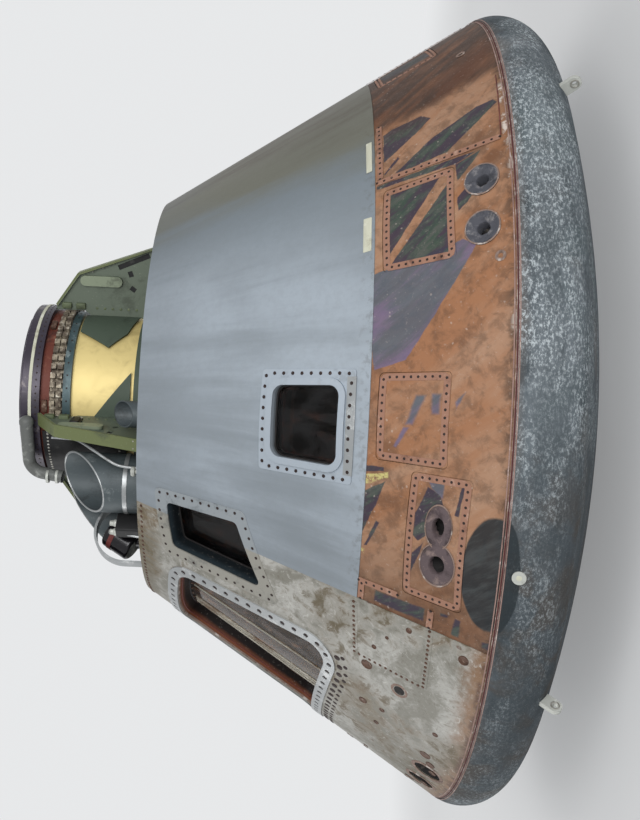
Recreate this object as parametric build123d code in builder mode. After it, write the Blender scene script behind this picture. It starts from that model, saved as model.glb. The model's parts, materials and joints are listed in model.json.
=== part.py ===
"""Blunt cone crew capsule: heat shield shell, windows, hatch opening and open forward compartment.

The axis is +Z, from the middle of the dished heat shield up to the docking ring.
The hatch is on the -Y side. Sizes are in millimetres and degrees.
Angles are round the axis from +X. Heights are measured up from the seam, where cone and heat shield meet.
"""

from build123d import *
from collections import namedtuple
import math
import os

# Blunt body: a dish, a rounded corner and a cone with its top cut off
MAX_DIAMETER = 3911.6
DISH_RADIUS = 4693.9
CORNER_RADIUS = 195.6
CONE_HALF_ANGLE = 33.0
SHELL_HEIGHT = 1436.0
SHIELD_THICKNESS = 58.0
DISH_RIM_ANGLE = 29.5
GASKET_RECESS = 4.0
FIT = 0.3

# Where the shell is divided
HATCH_ANGLE = -90.0
HATCH_SIDE_HALF_ARC = 34.0
ABLATOR_HEIGHT = 482.0
ABLATOR_RECESS = 3.0

# Cabin wall, floor and forward deck inside the shell
CABIN_WALL_DEPTH = 130.0
CABIN_WALL = 24.0
FLOOR_DROP = 21.0
FLOOR_THICKNESS = 30.0
DECK_DROP = 22.0
DECK_THICKNESS = 30.0

# Windows and hatch: corners as angle and height, then flange, raised rim and pane
Opening = namedtuple(
    "Opening", "corners corner_radius flange flange_corner proud rim rim_proud pane_depth pane ledge"
)
SIDE_WINDOW = Opening(
    corners=((-36.9, 587), (-25.2, 587), (-25.2, 843), (-36.9, 843)),
    corner_radius=44.0,
    flange=62.0,
    flange_corner=14.0,
    proud=4.0,
    rim=28.0,
    rim_proud=15.0,
    pane_depth=22.0,
    pane=12.0,
    ledge=14.0,
)
RENDEZVOUS_WINDOW = Opening(
    corners=((-63.4, 862), (-51.3, 981), (-52.8, 1294), (-64.7, 1265)),
    corner_radius=26.0,
    flange=60.0,
    flange_corner=30.0,
    proud=1.5,
    rim=0.0,
    rim_proud=0.0,
    pane_depth=78.0,
    pane=14.0,
    ledge=16.0,
)
HATCH = Opening(
    corners=((-110.6, 567), (-69.4, 567), (-72.5, 1236), (-107.5, 1236)),
    corner_radius=88.0,
    flange=56.0,
    flange_corner=144.0,
    proud=2.0,
    rim=0.0,
    rim_proud=0.0,
    pane_depth=86.0,
    pane=10.0,
    ledge=24.0,
)
FLANGE_DEPTH = 9.0
LINER_WALL = 11.0
TRIM_THICKNESS = 4.0
TRIM_HOLE_RADIUS = 12.0
TRIM_HOLE_COUNT = 56

# Access panels in the ablator: low and high angle, low and high height
Panel = namedtuple("Panel", "low_angle high_angle low high")
ACCESS_PANELS = (
    Panel(-9.7, 3.6, 194, 451),
    Panel(-35.0, -23.5, 201, 451),
    Panel(-52.2, -35.8, 112, 321),
    Panel(34.0, 47.0, 194, 451),
    Panel(62.0, 76.0, 119, 399),
)
PANEL_THICKNESS = 22.0
PANEL_RECESS = 5.0
PANEL_GAP = 2.0
PANEL_CORNER = 20.0

# Umbilical plate in its pocket, opposite the hatch
UMBILICAL = Panel(82.0, 98.0, 140, 400)
UMBILICAL_RECESS = 24.0
UMBILICAL_PLATE = 12.0
SOCKET_RADIUS = 21.0
SOCKET_PROUD = 14.0
SOCKET_PITCH = 64.0
SOCKET_ROWS = 3
SOCKET_COLUMNS = 6

# Control engine mouths: angle, height, mouth radius and sideways cant of the axis
Nozzle = namedtuple("Nozzle", "angle height radius cant")
YAW_NOZZLES = (Nozzle(0.0, 104, 64, 0), Nozzle(-6.6, 106, 64, 0))
ROLL_NOZZLES = (Nozzle(-42.1, 217, 44, 20), Nozzle(-46.9, 211, 44, -20))
PITCH_NOZZLES = (Nozzle(-86.7, 104, 60, 0), Nozzle(85.4, 1329, 56, 0))
NOZZLE_WALL = 7.0
NOZZLE_DEPTH = 62.0
THROAT_SHARE = 0.42

# Round plugs in the rounded corner, either side of the hatch
PLUG_ANGLES = (-45.5, -134.5)
PLUG_BEARING = 13.0
PLUG_RADIUS = 26.0
PLUG_DEPTH = 10.0
PLUG_PROUD = 2.5

# Lifting lugs on the rounded corner, in pairs about the way up that the capsule hangs
HANG_ANGLE = 62.0
LUG_OFFSETS = (-46.5, 46.5, 125.6, -125.6)
LUG_BEARING = -48.0
LUG_THICKNESS = 20.0
LUG_HALF_WIDTH = 28.0
LUG_REACH = 50.0
LUG_EYE_RADIUS = 11.0

# Docking tunnel and the rings stacked on it
TUNNEL_RADIUS = 400.0
TUNNEL_WALL = 22.0
TUNNEL_HEIGHT = 425.0
TUNNEL_BAND_HEIGHT = 125.0
TUNNEL_BAND_WALL = 9.0
TUNNEL_RING_HEIGHT = 38.0
TUNNEL_RING_PROUD = 22.0
LINK_RING_HEIGHT = 62.0
LINK_RING_PROUD = 12.0
LINK_COUNT = 60
LINK_WIDTH = 27.0
LINK_HEIGHT = 24.0
LINK_PROUD = 26.0
SEPARATION_BAND_HEIGHT = 42.0
SEPARATION_BAND_PROUD = 20.0
DOCKING_RING_HEIGHT = 90.0
DOCKING_RING_PROUD = 46.0
DOCKING_RING_ROUND = 6.0
STRIPE_HEIGHT = 15.0
STRIPE_OFFSET = 38.0
STRIPE_PROUD = 3.0
RETAINER_HEIGHT = 10.0
RETAINER_WIDTH = 20.0
RETAINER_INSET = 22.0
RETAINER_START = -68.0
RETAINER_ARC = 96.0
TUNNEL_HATCH_RISE = 60.0
TUNNEL_HATCH_THICKNESS = 34.0
HATCH_HUB_RADIUS = 70.0
HATCH_RIB_COUNT = 6
HATCH_RIB_WIDTH = 26.0
HATCH_RIB_LENGTH = 234.0
HATCH_RIB_PROUD = 16.0

# Four gussets that brace the tunnel
Gusset = namedtuple("Gusset", "name angle")
GUSSETS = (
    Gusset("hatch_right", -45.0),
    Gusset("back_right", 45.0),
    Gusset("back_left", 135.0),
    Gusset("hatch_left", -135.0),
)
GUSSET_WEB = 14.0
GUSSET_FLANGE_WIDTH = 60.0
GUSSET_FLANGE = 9.0
GUSSET_FOOT_INSET = 132.0
GUSSET_TIP_REACH = 24.0
GUSSET_SHOULDER_SHARE = 0.485
GUSSET_SHOULDER_RISE = 457.0
BEAD_LENGTH = 210.0
BEAD_WIDTH = 52.0
BEAD_PROUD = 18.0
BEAD_OUT = 194.0
BEAD_RISE = 340.0

# Cut-outs in each gusset's web: distance from the tunnel, rise over the deck, length, width, turn
WebHole = namedtuple("WebHole", "out rise length width turn")
WEB_HOLES = (
    WebHole(235, 195, 30, 24, 20),
    WebHole(159, 183, 30, 24, 55),
    WebHole(300, 178, 170, 26, -66),
)

# Thin aprons beside the gussets, wrapped round the tunnel: corners as angle and rise over the deck
Apron = namedtuple("Apron", "web_angle outline")
APRONS = (
    Apron(45.0, ((45.0, 415), (18.5, 415), (5.0, 264), (18.5, 183), (45.0, 140))),
    Apron(-45.0, ((-45.0, 315), (-45.0, 140), (-13.0, 140))),
)
APRON_THICKNESS = 4.0
APRON_CLEARANCE = 12.0

# Scarfed mortar cans beside the hatch centre line, and smaller ones beside the gussets
CAN_RADIUS = 142.0
CAN_WALL = 7.0
CAN_FLOOR = 21.0
CAN_OUT = -18.0
CAN_PLACE_ANGLE = -68.6
CAN_MOUTH_RISE = 327.0
CAN_SCARF = 40.0
CAN_SCARF_TOWARDS = -55.0
PILOT_RADIUS = 62.0
PILOT_WALL = 5.0
PILOT_FLOOR = 15.0
PILOT_OUT = -3.0
PILOT_PLACE_ANGLE = -35.8
PILOT_MOUTH_RISE = 130.0

# Leaning canister under its hoop, on the hatch centre line
HOOP_RADIUS = 150.0
HOOP_BAND = 12.0
HOOP_WIDTH = 56.0
HOOP_STRAIGHT = 125.0
HOOP_EDGE_GAP = 9.0
CANISTER_RADIUS = 72.0
CANISTER_LENGTH = 150.0
CANISTER_LEAN = 32.0
CANISTER_ROUND = 16.0
CANISTER_OUT = 35.0
CANISTER_RISE = 150.0
CANISTER_POST_RADIUS = 30.0

# Vent pipe round the docking ring, turned down to the mortar can
PIPE_RADIUS = 30.0
PIPE_WALL = 3.0
PIPE_BEND = 70.0
PIPE_START_ANGLE = -46.0
PIPE_TURN = 16.0
PIPE_DROP = 165.0
PIPE_LEVEL = 52.0

# Couches and console seen through the glass
COUCH_WIDTH = 500.0
COUCH_LENGTH = 1650.0
COUCH_KNEE = 430.0
COUCH_HIP = 520.0
COUCH_HEAD = 360.0
COUCH_THICKNESS = 70.0
COUCH_SPACING = 590.0
COUCH_RISE = 260.0
COUCH_KNEE_RISE = 170.0
COUCH_HEAD_RISE = 60.0
COUCH_LEG = 60.0
COUCH_LEG_PLACE = 280.0
CONSOLE_WIDTH = 1300.0
CONSOLE_DEPTH = 420.0
CONSOLE_HEIGHT = 160.0
CONSOLE_CORNER = 30.0
CONSOLE_DROP = 60.0
CONSOLE_STRUT_WIDTH = 40.0
CONSOLE_STRUT_DEPTH = 120.0
CONSOLE_STRUT_PLACE = 520.0

# Worked out from the driving sizes
MAX_RADIUS = MAX_DIAMETER / 2
CORNER_CENTRE_R = MAX_RADIUS - CORNER_RADIUS
CORNER_CENTRE_Z = DISH_RADIUS - math.sqrt((DISH_RADIUS - CORNER_RADIUS) ** 2 - CORNER_CENTRE_R**2)
SLOPE = math.radians(CONE_HALF_ANGLE)
SEAM_R = CORNER_CENTRE_R + CORNER_RADIUS * math.cos(SLOPE)
SEAM_Z = CORNER_CENTRE_Z + CORNER_RADIUS * math.sin(SLOPE)
PANEL_JOINT = math.degrees(2 * FIT / MAX_RADIUS)
FLOOR_Z = SEAM_Z - FLOOR_DROP
DECK_Z = SEAM_Z + SHELL_HEIGHT - DECK_DROP
DECK_TOP = DECK_Z + FIT
TUNNEL_INNER = TUNNEL_RADIUS - TUNNEL_WALL
TUNNEL_TOP_Z = DECK_Z + TUNNEL_HEIGHT
TUNNEL_RING_Z = TUNNEL_TOP_Z + FIT
LINK_RING_Z = TUNNEL_RING_Z + TUNNEL_RING_HEIGHT + FIT
SEPARATION_BAND_Z = LINK_RING_Z + LINK_RING_HEIGHT + FIT
DOCKING_RING_Z = SEPARATION_BAND_Z + SEPARATION_BAND_HEIGHT + FIT
DOCKING_RING_TOP = DOCKING_RING_Z + DOCKING_RING_HEIGHT
LINK_RING_RADIUS = TUNNEL_RADIUS + LINK_RING_PROUD
DOCKING_RING_RADIUS = TUNNEL_RADIUS + DOCKING_RING_PROUD
CUT = 340.0
SPARE_ARC = 9.0


def polar(radius, angle, level=0.0):
    """Point at a radius and angle round the axis."""
    a = math.radians(angle)
    return Vector(radius * math.cos(a), radius * math.sin(a), level)


def radial_plane(angle):
    """Plane through the axis at this angle, local x outward and local y up."""
    a = math.radians(angle)
    return Plane(origin=(0, 0, 0), x_dir=(math.cos(a), math.sin(a), 0), z_dir=(math.sin(a), -math.cos(a), 0))


def wall_radius(height, depth=0.0):
    """Radius of the cone's wall at a height over the seam, at a depth below its outer face."""
    return SEAM_R - height * math.tan(SLOPE) - depth / math.cos(SLOPE)


def cone_point(height, outward=0.0):
    """Radius and level of the cone's outer line at a height, moved along its normal."""
    return (wall_radius(height) + outward * math.cos(SLOPE), SEAM_Z + height + outward * math.sin(SLOPE))


def cone_plane(angle, height, inward=0.0):
    """Plane on the cone, local x round it, local y up its slope and local z outward."""
    radius, level = cone_point(height, -inward)
    a = math.radians(angle)
    outward = (math.cos(a) * math.cos(SLOPE), math.sin(a) * math.cos(SLOPE), math.sin(SLOPE))
    return Plane(origin=polar(radius, angle, level), x_dir=(-math.sin(a), math.cos(a), 0), z_dir=outward)


def on_cone(plane, angle, height):
    """Local x and y on a plane of the cone's point at an angle and height."""
    radius, level = cone_point(height)
    local = plane.to_local_coords(polar(radius, angle, level))
    return (local.X, local.Y)


def middle_plane(corners):
    """Plane on the cone in the middle of some corners."""
    middle_angle = sum(angle for angle, height in corners) / len(corners)
    middle_height = sum(height for angle, height in corners) / len(corners)
    return cone_plane(middle_angle, middle_height)


def cone_outline(corners, corner_radius, grow=0.0):
    """Outline through corners on the cone, grown by a margin, its corners then rounded."""
    plane = middle_plane(corners)
    with BuildSketch(plane) as outline:
        with BuildLine():
            Polyline(*[on_cone(plane, angle, height) for angle, height in corners], close=True)
        make_face()
        if grow:
            offset(amount=grow, kind=Kind.INTERSECTION)
        fillet(outline.vertices(), corner_radius)
    return outline.sketch


def revolve_band(low, high, inside, outside, start=0.0, arc=360.0, mode=Mode.ADD):
    """Revolve a strip of the cone's wall between two heights and two offsets."""
    with BuildSketch(radial_plane(start)) as strip:
        with BuildLine():
            Polyline(
                cone_point(low, outside),
                cone_point(high, outside),
                cone_point(high, inside),
                cone_point(low, inside),
                close=True,
            )
        make_face()
    revolve(strip.sketch.faces(), axis=Axis.Z, revolution_arc=arc, mode=mode)


def revolve_ring(inner, outer, low_z, high_z, start=0.0, arc=360.0, mode=Mode.ADD):
    """Revolve a plain rectangular ring round the axis."""
    with BuildSketch(radial_plane(start)) as section:
        with BuildLine():
            Polyline((inner, low_z), (outer, low_z), (outer, high_z), (inner, high_z), close=True)
        make_face()
    revolve(section.sketch.faces(), axis=Axis.Z, revolution_arc=arc, mode=mode)


def cone_patch(corners, corner_radius, grow, inside, outside):
    """Curved plate with a grown outline on the cone, between two offsets from its face."""
    angles = [angle for angle, height in corners]
    heights = [height for angle, height in corners]
    spare = grow + corner_radius + FLANGE_DEPTH
    start = min(angles) - SPARE_ARC
    arc = max(angles) + SPARE_ARC - start
    with BuildPart() as patch:
        revolve_band(min(heights) - spare, max(heights) + spare, inside, outside, start=start, arc=arc)
        extrude(cone_outline(corners, corner_radius, grow), amount=CUT, both=True, mode=Mode.INTERSECT)
    return patch.part


def grown_patch(opening, grow, inside, outside):
    """Curved plate with an opening's own outline, grown evenly with its corners."""
    return cone_patch(opening.corners, opening.corner_radius + grow, grow, inside, outside)


def cut_opening(opening, grow):
    """Cut an opening's outline, grown by a margin, right through the open part."""
    outline = cone_outline(opening.corners, opening.corner_radius + grow, grow)
    extrude(outline, amount=CUT, both=True, mode=Mode.SUBTRACT)


def cut_flange_seat(opening):
    """Sink the seat of an opening's flange into the open part and cut its liner's hole."""
    seat = cone_patch(
        opening.corners, opening.flange_corner + FIT, opening.flange + FIT, -FLANGE_DEPTH - FIT, 2 * FLANGE_DEPTH
    )
    add(seat, mode=Mode.SUBTRACT)
    cut_opening(opening, LINER_WALL + FIT)


def opening_frame(opening):
    """Flange on the shell, raised rim, liner back to the cabin wall and ledge that carries the pane."""
    back = opening.pane_depth + opening.pane
    with BuildPart() as frame:
        add(cone_patch(opening.corners, opening.flange_corner, opening.flange, -FLANGE_DEPTH, opening.proud))
        if opening.rim:
            add(grown_patch(opening, opening.rim, 0, opening.rim_proud))
        add(grown_patch(opening, LINER_WALL, FIT - CABIN_WALL_DEPTH, -FLANGE_DEPTH / 2))
        cut_opening(opening, 0)
        add(grown_patch(opening, LINER_WALL / 2, -back - LINER_WALL, -back))
        cut_opening(opening, -opening.ledge)
    return frame.part


def opening_pane(opening):
    """Pane that rests on the frame's ledge."""
    back = opening.pane_depth + opening.pane - FIT
    return grown_patch(opening, -FIT, -back, -opening.pane_depth)


def mirrored(part):
    """Copy of a part on the other side of the hatch centre line."""
    return mirror(part, about=Plane.YZ, mode=Mode.PRIVATE)


def save(part, name):
    """Label a finished piece and write it."""
    part.label = name
    export_step(part, "parts/" + name + ".step")


def save_pair(part, name):
    """Write a piece and its mirror image as the right and left ones."""
    save(part, name + "_right")
    save(mirrored(part), name + "_left")


os.makedirs("parts", exist_ok=True)

# Dished heat shield with its rounded corner
rim = math.radians(DISH_RIM_ANGLE)
inner_corner = CORNER_RADIUS - SHIELD_THICKNESS
inner_dish = DISH_RADIUS - SHIELD_THICKNESS
edge_turn = math.asin(CORNER_CENTRE_R / (DISH_RADIUS - CORNER_RADIUS))


def corner_point(radius, bearing):
    """Point on the rounded corner, at a bearing above the level of its centre."""
    return (CORNER_CENTRE_R + radius * math.cos(bearing), CORNER_CENTRE_Z + radius * math.sin(bearing))


def dish_point(radius, turn):
    """Point on the dish, at a turn about its centre from the axis."""
    return (radius * math.sin(turn), DISH_RADIUS - radius * math.cos(turn))


def corner_plane(angle, bearing, proud):
    """Plane that faces outward from the rounded corner, a little proud of it."""
    b = math.radians(bearing)
    radius, level = corner_point(CORNER_RADIUS + proud, b)
    a = math.radians(angle)
    outward = (math.cos(a) * math.cos(b), math.sin(a) * math.cos(b), math.sin(b))
    return Plane(origin=polar(radius, angle, level), x_dir=(-math.sin(a), math.cos(a), 0), z_dir=outward)


with BuildPart() as aft_heat_shield:
    with BuildSketch(Plane.XZ) as shield_section:
        with BuildLine():
            ThreePointArc((0, 0), dish_point(DISH_RADIUS, edge_turn / 2), dish_point(DISH_RADIUS, edge_turn))
            ThreePointArc(
                dish_point(DISH_RADIUS, edge_turn), corner_point(CORNER_RADIUS, 0), corner_point(CORNER_RADIUS, rim)
            )
            Line(corner_point(CORNER_RADIUS, rim), corner_point(inner_corner, rim))
            ThreePointArc(
                corner_point(inner_corner, rim), corner_point(inner_corner, 0), dish_point(inner_dish, edge_turn)
            )
            ThreePointArc(
                dish_point(inner_dish, edge_turn), dish_point(inner_dish, edge_turn / 2), (0, SHIELD_THICKNESS)
            )
            Line((0, SHIELD_THICKNESS), (0, 0))
        make_face()
    revolve(axis=Axis.Z)
    with BuildSketch(*[corner_plane(angle, PLUG_BEARING, -PLUG_DEPTH - FIT) for angle in PLUG_ANGLES]):
        Circle(PLUG_RADIUS + FIT)
    extrude(amount=2 * PLUG_DEPTH, mode=Mode.SUBTRACT)
save(aft_heat_shield.part, "aft_heat_shield")

with BuildPart() as shield_plugs:
    with BuildSketch(*[corner_plane(angle, PLUG_BEARING, -PLUG_DEPTH) for angle in PLUG_ANGLES]):
        Circle(PLUG_RADIUS)
    extrude(amount=PLUG_DEPTH + PLUG_PROUD)
save(shield_plugs.part, "shield_plugs")

# Seam between the heat shield and the conical shell
gasket_low = rim + FIT / CORNER_RADIUS
gasket_high = SLOPE - FIT / CORNER_RADIUS
gasket_radius = CORNER_RADIUS - GASKET_RECESS
with BuildPart() as seam_gasket:
    with BuildSketch(Plane.XZ) as gasket_section:
        with BuildLine():
            Polyline(
                corner_point(gasket_radius, gasket_low),
                corner_point(gasket_radius, gasket_high),
                corner_point(inner_corner, gasket_high),
                corner_point(inner_corner, gasket_low),
                close=True,
            )
        make_face()
    revolve(axis=Axis.Z)
save(seam_gasket.part, "seam_gasket")

# Conical shell: ablator ring, upper sheet and the hatch side, split as the real panels are
side_start = HATCH_ANGLE + HATCH_SIDE_HALF_ARC + PANEL_JOINT
side_arc = 90 - PANEL_JOINT - side_start


def nozzle_axis(nozzle):
    """Plane at a nozzle's mouth, its local z along the jet."""
    return cone_plane(nozzle.angle, nozzle.height).rotated((0, nozzle.cant, 0))


def cut_nozzle_bore(nozzle):
    """Bore the seat of a nozzle through the open part."""
    with BuildSketch(nozzle_axis(nozzle)) as bore:
        Circle(nozzle.radius + NOZZLE_WALL + FIT)
    extrude(bore.sketch, amount=CUT / 2, both=True, mode=Mode.SUBTRACT)


def panel_stock(panel, grow, inside, outside):
    """Curved plate of an access panel, between two offsets from the cone."""
    corners = (
        (panel.low_angle, panel.low),
        (panel.high_angle, panel.low),
        (panel.high_angle, panel.high),
        (panel.low_angle, panel.high),
    )
    return cone_patch(corners, PANEL_CORNER + grow, grow, inside, outside)


with BuildPart() as lower_shell:
    revolve_band(FIT, ABLATOR_HEIGHT - FIT, -SHIELD_THICKNESS, -ABLATOR_RECESS, start=side_start, arc=side_arc)
    for panel in ACCESS_PANELS:
        add(panel_stock(panel, 0, -PANEL_RECESS - PANEL_THICKNESS, CUT / 4), mode=Mode.SUBTRACT)
    add(panel_stock(UMBILICAL, 0, -UMBILICAL_RECESS - UMBILICAL_PLATE, CUT / 4), mode=Mode.SUBTRACT)
    for nozzle in YAW_NOZZLES + ROLL_NOZZLES:
        cut_nozzle_bore(nozzle)
save_pair(lower_shell.part, "lower_shell")

with BuildPart() as access_panels:
    for panel in ACCESS_PANELS:
        add(panel_stock(panel, -PANEL_GAP, FIT - PANEL_RECESS - PANEL_THICKNESS, -PANEL_RECESS))
    for nozzle in ROLL_NOZZLES:
        cut_nozzle_bore(nozzle)
save_pair(access_panels.part, "access_panels")

umbilical_middle = (UMBILICAL.low + UMBILICAL.high) / 2
with BuildPart() as umbilical_plate:
    add(panel_stock(UMBILICAL, -PANEL_GAP, FIT - UMBILICAL_RECESS - UMBILICAL_PLATE, -UMBILICAL_RECESS))
    with BuildSketch(cone_plane(-HATCH_ANGLE, umbilical_middle, UMBILICAL_RECESS + UMBILICAL_PLATE / 2)):
        with GridLocations(SOCKET_PITCH, SOCKET_PITCH, SOCKET_COLUMNS, SOCKET_ROWS):
            Circle(SOCKET_RADIUS)
    extrude(amount=UMBILICAL_PLATE / 2 + SOCKET_PROUD)
save(umbilical_plate.part, "umbilical_plate")

with BuildPart() as upper_shell:
    revolve_band(ABLATOR_HEIGHT, SHELL_HEIGHT, -SHIELD_THICKNESS, 0, start=side_start, arc=side_arc)
    cut_flange_seat(SIDE_WINDOW)
    cut_flange_seat(RENDEZVOUS_WINDOW)
    cut_nozzle_bore(PITCH_NOZZLES[1])
save_pair(upper_shell.part, "upper_shell")

with BuildPart() as hatch_side_shell:
    revolve_band(FIT, SHELL_HEIGHT, -SHIELD_THICKNESS, 0, start=HATCH_ANGLE, arc=HATCH_SIDE_HALF_ARC)
    cut_flange_seat(RENDEZVOUS_WINDOW)
    cut_flange_seat(HATCH)
    cut_nozzle_bore(PITCH_NOZZLES[0])
    mirror(about=Plane.YZ)
save(hatch_side_shell.part, "hatch_side_shell")

# Window and hatch frames with their panes
save_pair(opening_frame(SIDE_WINDOW), "side_window_frame")
save_pair(opening_pane(SIDE_WINDOW), "side_window_glass")
save_pair(opening_frame(RENDEZVOUS_WINDOW), "rendezvous_window_frame")
save_pair(opening_pane(RENDEZVOUS_WINDOW), "rendezvous_window_glass")
save(opening_frame(HATCH), "hatch_frame")
save(opening_pane(HATCH), "hatch_cover")

# Strip of large holes that lies on the hatch frame's flange
trim_low = HATCH.proud + FIT
trim_plane = middle_plane(HATCH.corners)
hole_line = cone_outline(HATCH.corners, HATCH.corner_radius + HATCH.flange / 2, HATCH.flange / 2).wire()
with BuildPart() as hatch_trim:
    add(cone_patch(HATCH.corners, HATCH.flange_corner, HATCH.flange, trim_low, trim_low + TRIM_THICKNESS))
    cut_opening(HATCH, 0)
    with BuildSketch(trim_plane) as trim_holes:
        for index in range(TRIM_HOLE_COUNT):
            place = trim_plane.to_local_coords(hole_line.position_at(index / TRIM_HOLE_COUNT))
            with Locations((place.X, place.Y)):
                Circle(TRIM_HOLE_RADIUS)
    extrude(trim_holes.sketch, amount=CUT, both=True, mode=Mode.SUBTRACT)
save(hatch_trim.part, "hatch_trim")


def nozzle_insert(nozzle):
    """Flared insert of a control engine, trimmed to the shell's outer face."""
    plane = nozzle_axis(nozzle)
    with BuildPart() as insert:
        with BuildSketch(plane.offset(-NOZZLE_DEPTH)):
            Circle(nozzle.radius + NOZZLE_WALL)
        extrude(amount=NOZZLE_DEPTH + nozzle.radius)
        with BuildSketch(plane.offset(-NOZZLE_DEPTH + NOZZLE_WALL)):
            Circle(nozzle.radius * THROAT_SHARE)
        with BuildSketch(plane):
            Circle(nozzle.radius)
        loft(mode=Mode.SUBTRACT)
        with BuildSketch(plane):
            Circle(nozzle.radius)
        extrude(amount=nozzle.radius, mode=Mode.SUBTRACT)
        spare = 3 * nozzle.radius
        reach = math.degrees(spare / wall_radius(nozzle.height))
        revolve_band(
            nozzle.height - spare,
            nozzle.height + spare,
            -2 * NOZZLE_DEPTH,
            -PANEL_RECESS,
            start=nozzle.angle - reach,
            arc=2 * reach,
            mode=Mode.INTERSECT,
        )
    return insert.part


for name, nozzles in (("yaw", YAW_NOZZLES), ("roll", ROLL_NOZZLES), ("pitch", PITCH_NOZZLES)):
    with BuildPart() as nozzle_set:
        for nozzle in nozzles:
            add(nozzle_insert(nozzle))
        mirror(about=Plane.YZ)
    save(nozzle_set.part, name + "_nozzles")

# Cabin floor, wall and forward deck
floor_radius = CORNER_CENTRE_R + math.sqrt(inner_corner**2 - (FLOOR_Z - CORNER_CENTRE_Z) ** 2) - FIT
with BuildPart() as cabin_floor:
    with BuildSketch(Plane.XY.offset(FLOOR_Z - FLOOR_THICKNESS)):
        Circle(floor_radius)
    extrude(amount=FLOOR_THICKNESS)
save(cabin_floor.part, "cabin_floor")

wall_low = FIT - FLOOR_DROP + (CABIN_WALL_DEPTH + CABIN_WALL) * math.sin(SLOPE)
wall_high = SHELL_HEIGHT - DECK_DROP - DECK_THICKNESS - FIT + CABIN_WALL_DEPTH * math.sin(SLOPE)
with BuildPart() as cabin_wall:
    revolve_band(wall_low, wall_high, -CABIN_WALL_DEPTH - CABIN_WALL, -CABIN_WALL_DEPTH)
    for opening in (SIDE_WINDOW, RENDEZVOUS_WINDOW):
        cut_opening(opening, 0)
    split(bisect_by=Plane.YZ, keep=Keep.TOP)
    mirror(about=Plane.YZ)
    cut_opening(HATCH, 0)
save(cabin_wall.part, "cabin_wall")

deck_radius = wall_radius(SHELL_HEIGHT - DECK_DROP, SHIELD_THICKNESS) - FIT
with BuildPart() as forward_deck:
    revolve_ring(TUNNEL_RADIUS + FIT, deck_radius, DECK_Z - DECK_THICKNESS, DECK_Z)
save(forward_deck.part, "forward_deck")

# Docking tunnel, its band and the rings stacked on top
with BuildPart() as tunnel:
    revolve_ring(TUNNEL_INNER, TUNNEL_RADIUS, DECK_Z - 2 * DECK_THICKNESS, TUNNEL_TOP_Z)
save(tunnel.part, "tunnel")

band_inner = TUNNEL_RADIUS + FIT
band_outer = band_inner + TUNNEL_BAND_WALL
with BuildPart() as tunnel_band:
    revolve_ring(band_inner, band_outer, DECK_TOP, DECK_TOP + TUNNEL_BAND_HEIGHT)
save(tunnel_band.part, "tunnel_band")

with BuildPart() as tunnel_ring:
    ring_radius = TUNNEL_RADIUS + TUNNEL_RING_PROUD
    revolve_ring(TUNNEL_INNER, ring_radius, TUNNEL_RING_Z, TUNNEL_RING_Z + TUNNEL_RING_HEIGHT)
save(tunnel_ring.part, "tunnel_ring")

with BuildPart() as link_ring:
    revolve_ring(TUNNEL_INNER, LINK_RING_RADIUS, LINK_RING_Z, LINK_RING_Z + LINK_RING_HEIGHT)
    for quarter in (1, 3):
        level = LINK_RING_Z + LINK_RING_HEIGHT * quarter / 4
        with PolarLocations(LINK_RING_RADIUS, LINK_COUNT):
            with Locations((0, 0, level)):
                Box(2 * LINK_PROUD, LINK_WIDTH, LINK_HEIGHT)
save(link_ring.part, "link_ring")

with BuildPart() as separation_band:
    revolve_ring(
        TUNNEL_INNER,
        TUNNEL_RADIUS + SEPARATION_BAND_PROUD,
        SEPARATION_BAND_Z,
        SEPARATION_BAND_Z + SEPARATION_BAND_HEIGHT,
    )
save(separation_band.part, "separation_band")

stripe_low = DOCKING_RING_Z + STRIPE_OFFSET
stripe_inner = DOCKING_RING_RADIUS - STRIPE_HEIGHT
stripe_outer = DOCKING_RING_RADIUS + STRIPE_PROUD
retainer_outer = DOCKING_RING_RADIUS - RETAINER_INSET
with BuildPart() as docking_ring:
    revolve_ring(TUNNEL_INNER, DOCKING_RING_RADIUS, DOCKING_RING_Z, DOCKING_RING_TOP)
    revolve_ring(stripe_inner, stripe_outer, stripe_low, stripe_low + STRIPE_HEIGHT, mode=Mode.SUBTRACT)
    fillet(docking_ring.faces().sort_by(Axis.Z)[-1].edges(), DOCKING_RING_ROUND)
    revolve_ring(
        retainer_outer - RETAINER_WIDTH,
        retainer_outer,
        DOCKING_RING_TOP - RETAINER_HEIGHT,
        DOCKING_RING_TOP + RETAINER_HEIGHT,
        start=RETAINER_START,
        arc=RETAINER_ARC,
    )
save(docking_ring.part, "docking_ring")

with BuildPart() as docking_ring_stripe:
    revolve_ring(stripe_inner + FIT, stripe_outer, stripe_low + FIT, stripe_low + STRIPE_HEIGHT - FIT)
save(docking_ring_stripe.part, "docking_ring_stripe")

tunnel_hatch_z = TUNNEL_TOP_Z + TUNNEL_HATCH_RISE
with BuildPart() as tunnel_hatch:
    with BuildSketch(Plane.XY.offset(tunnel_hatch_z)):
        Circle(TUNNEL_INNER - FIT)
    extrude(amount=TUNNEL_HATCH_THICKNESS)
    with BuildSketch(Plane.XY.offset(tunnel_hatch_z + TUNNEL_HATCH_THICKNESS)):
        Circle(HATCH_HUB_RADIUS)
        with PolarLocations(HATCH_HUB_RADIUS + HATCH_RIB_LENGTH / 2, HATCH_RIB_COUNT):
            Rectangle(HATCH_RIB_LENGTH + HATCH_RIB_WIDTH, HATCH_RIB_WIDTH)
    extrude(amount=HATCH_RIB_PROUD)
save(tunnel_hatch.part, "tunnel_hatch")

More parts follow.
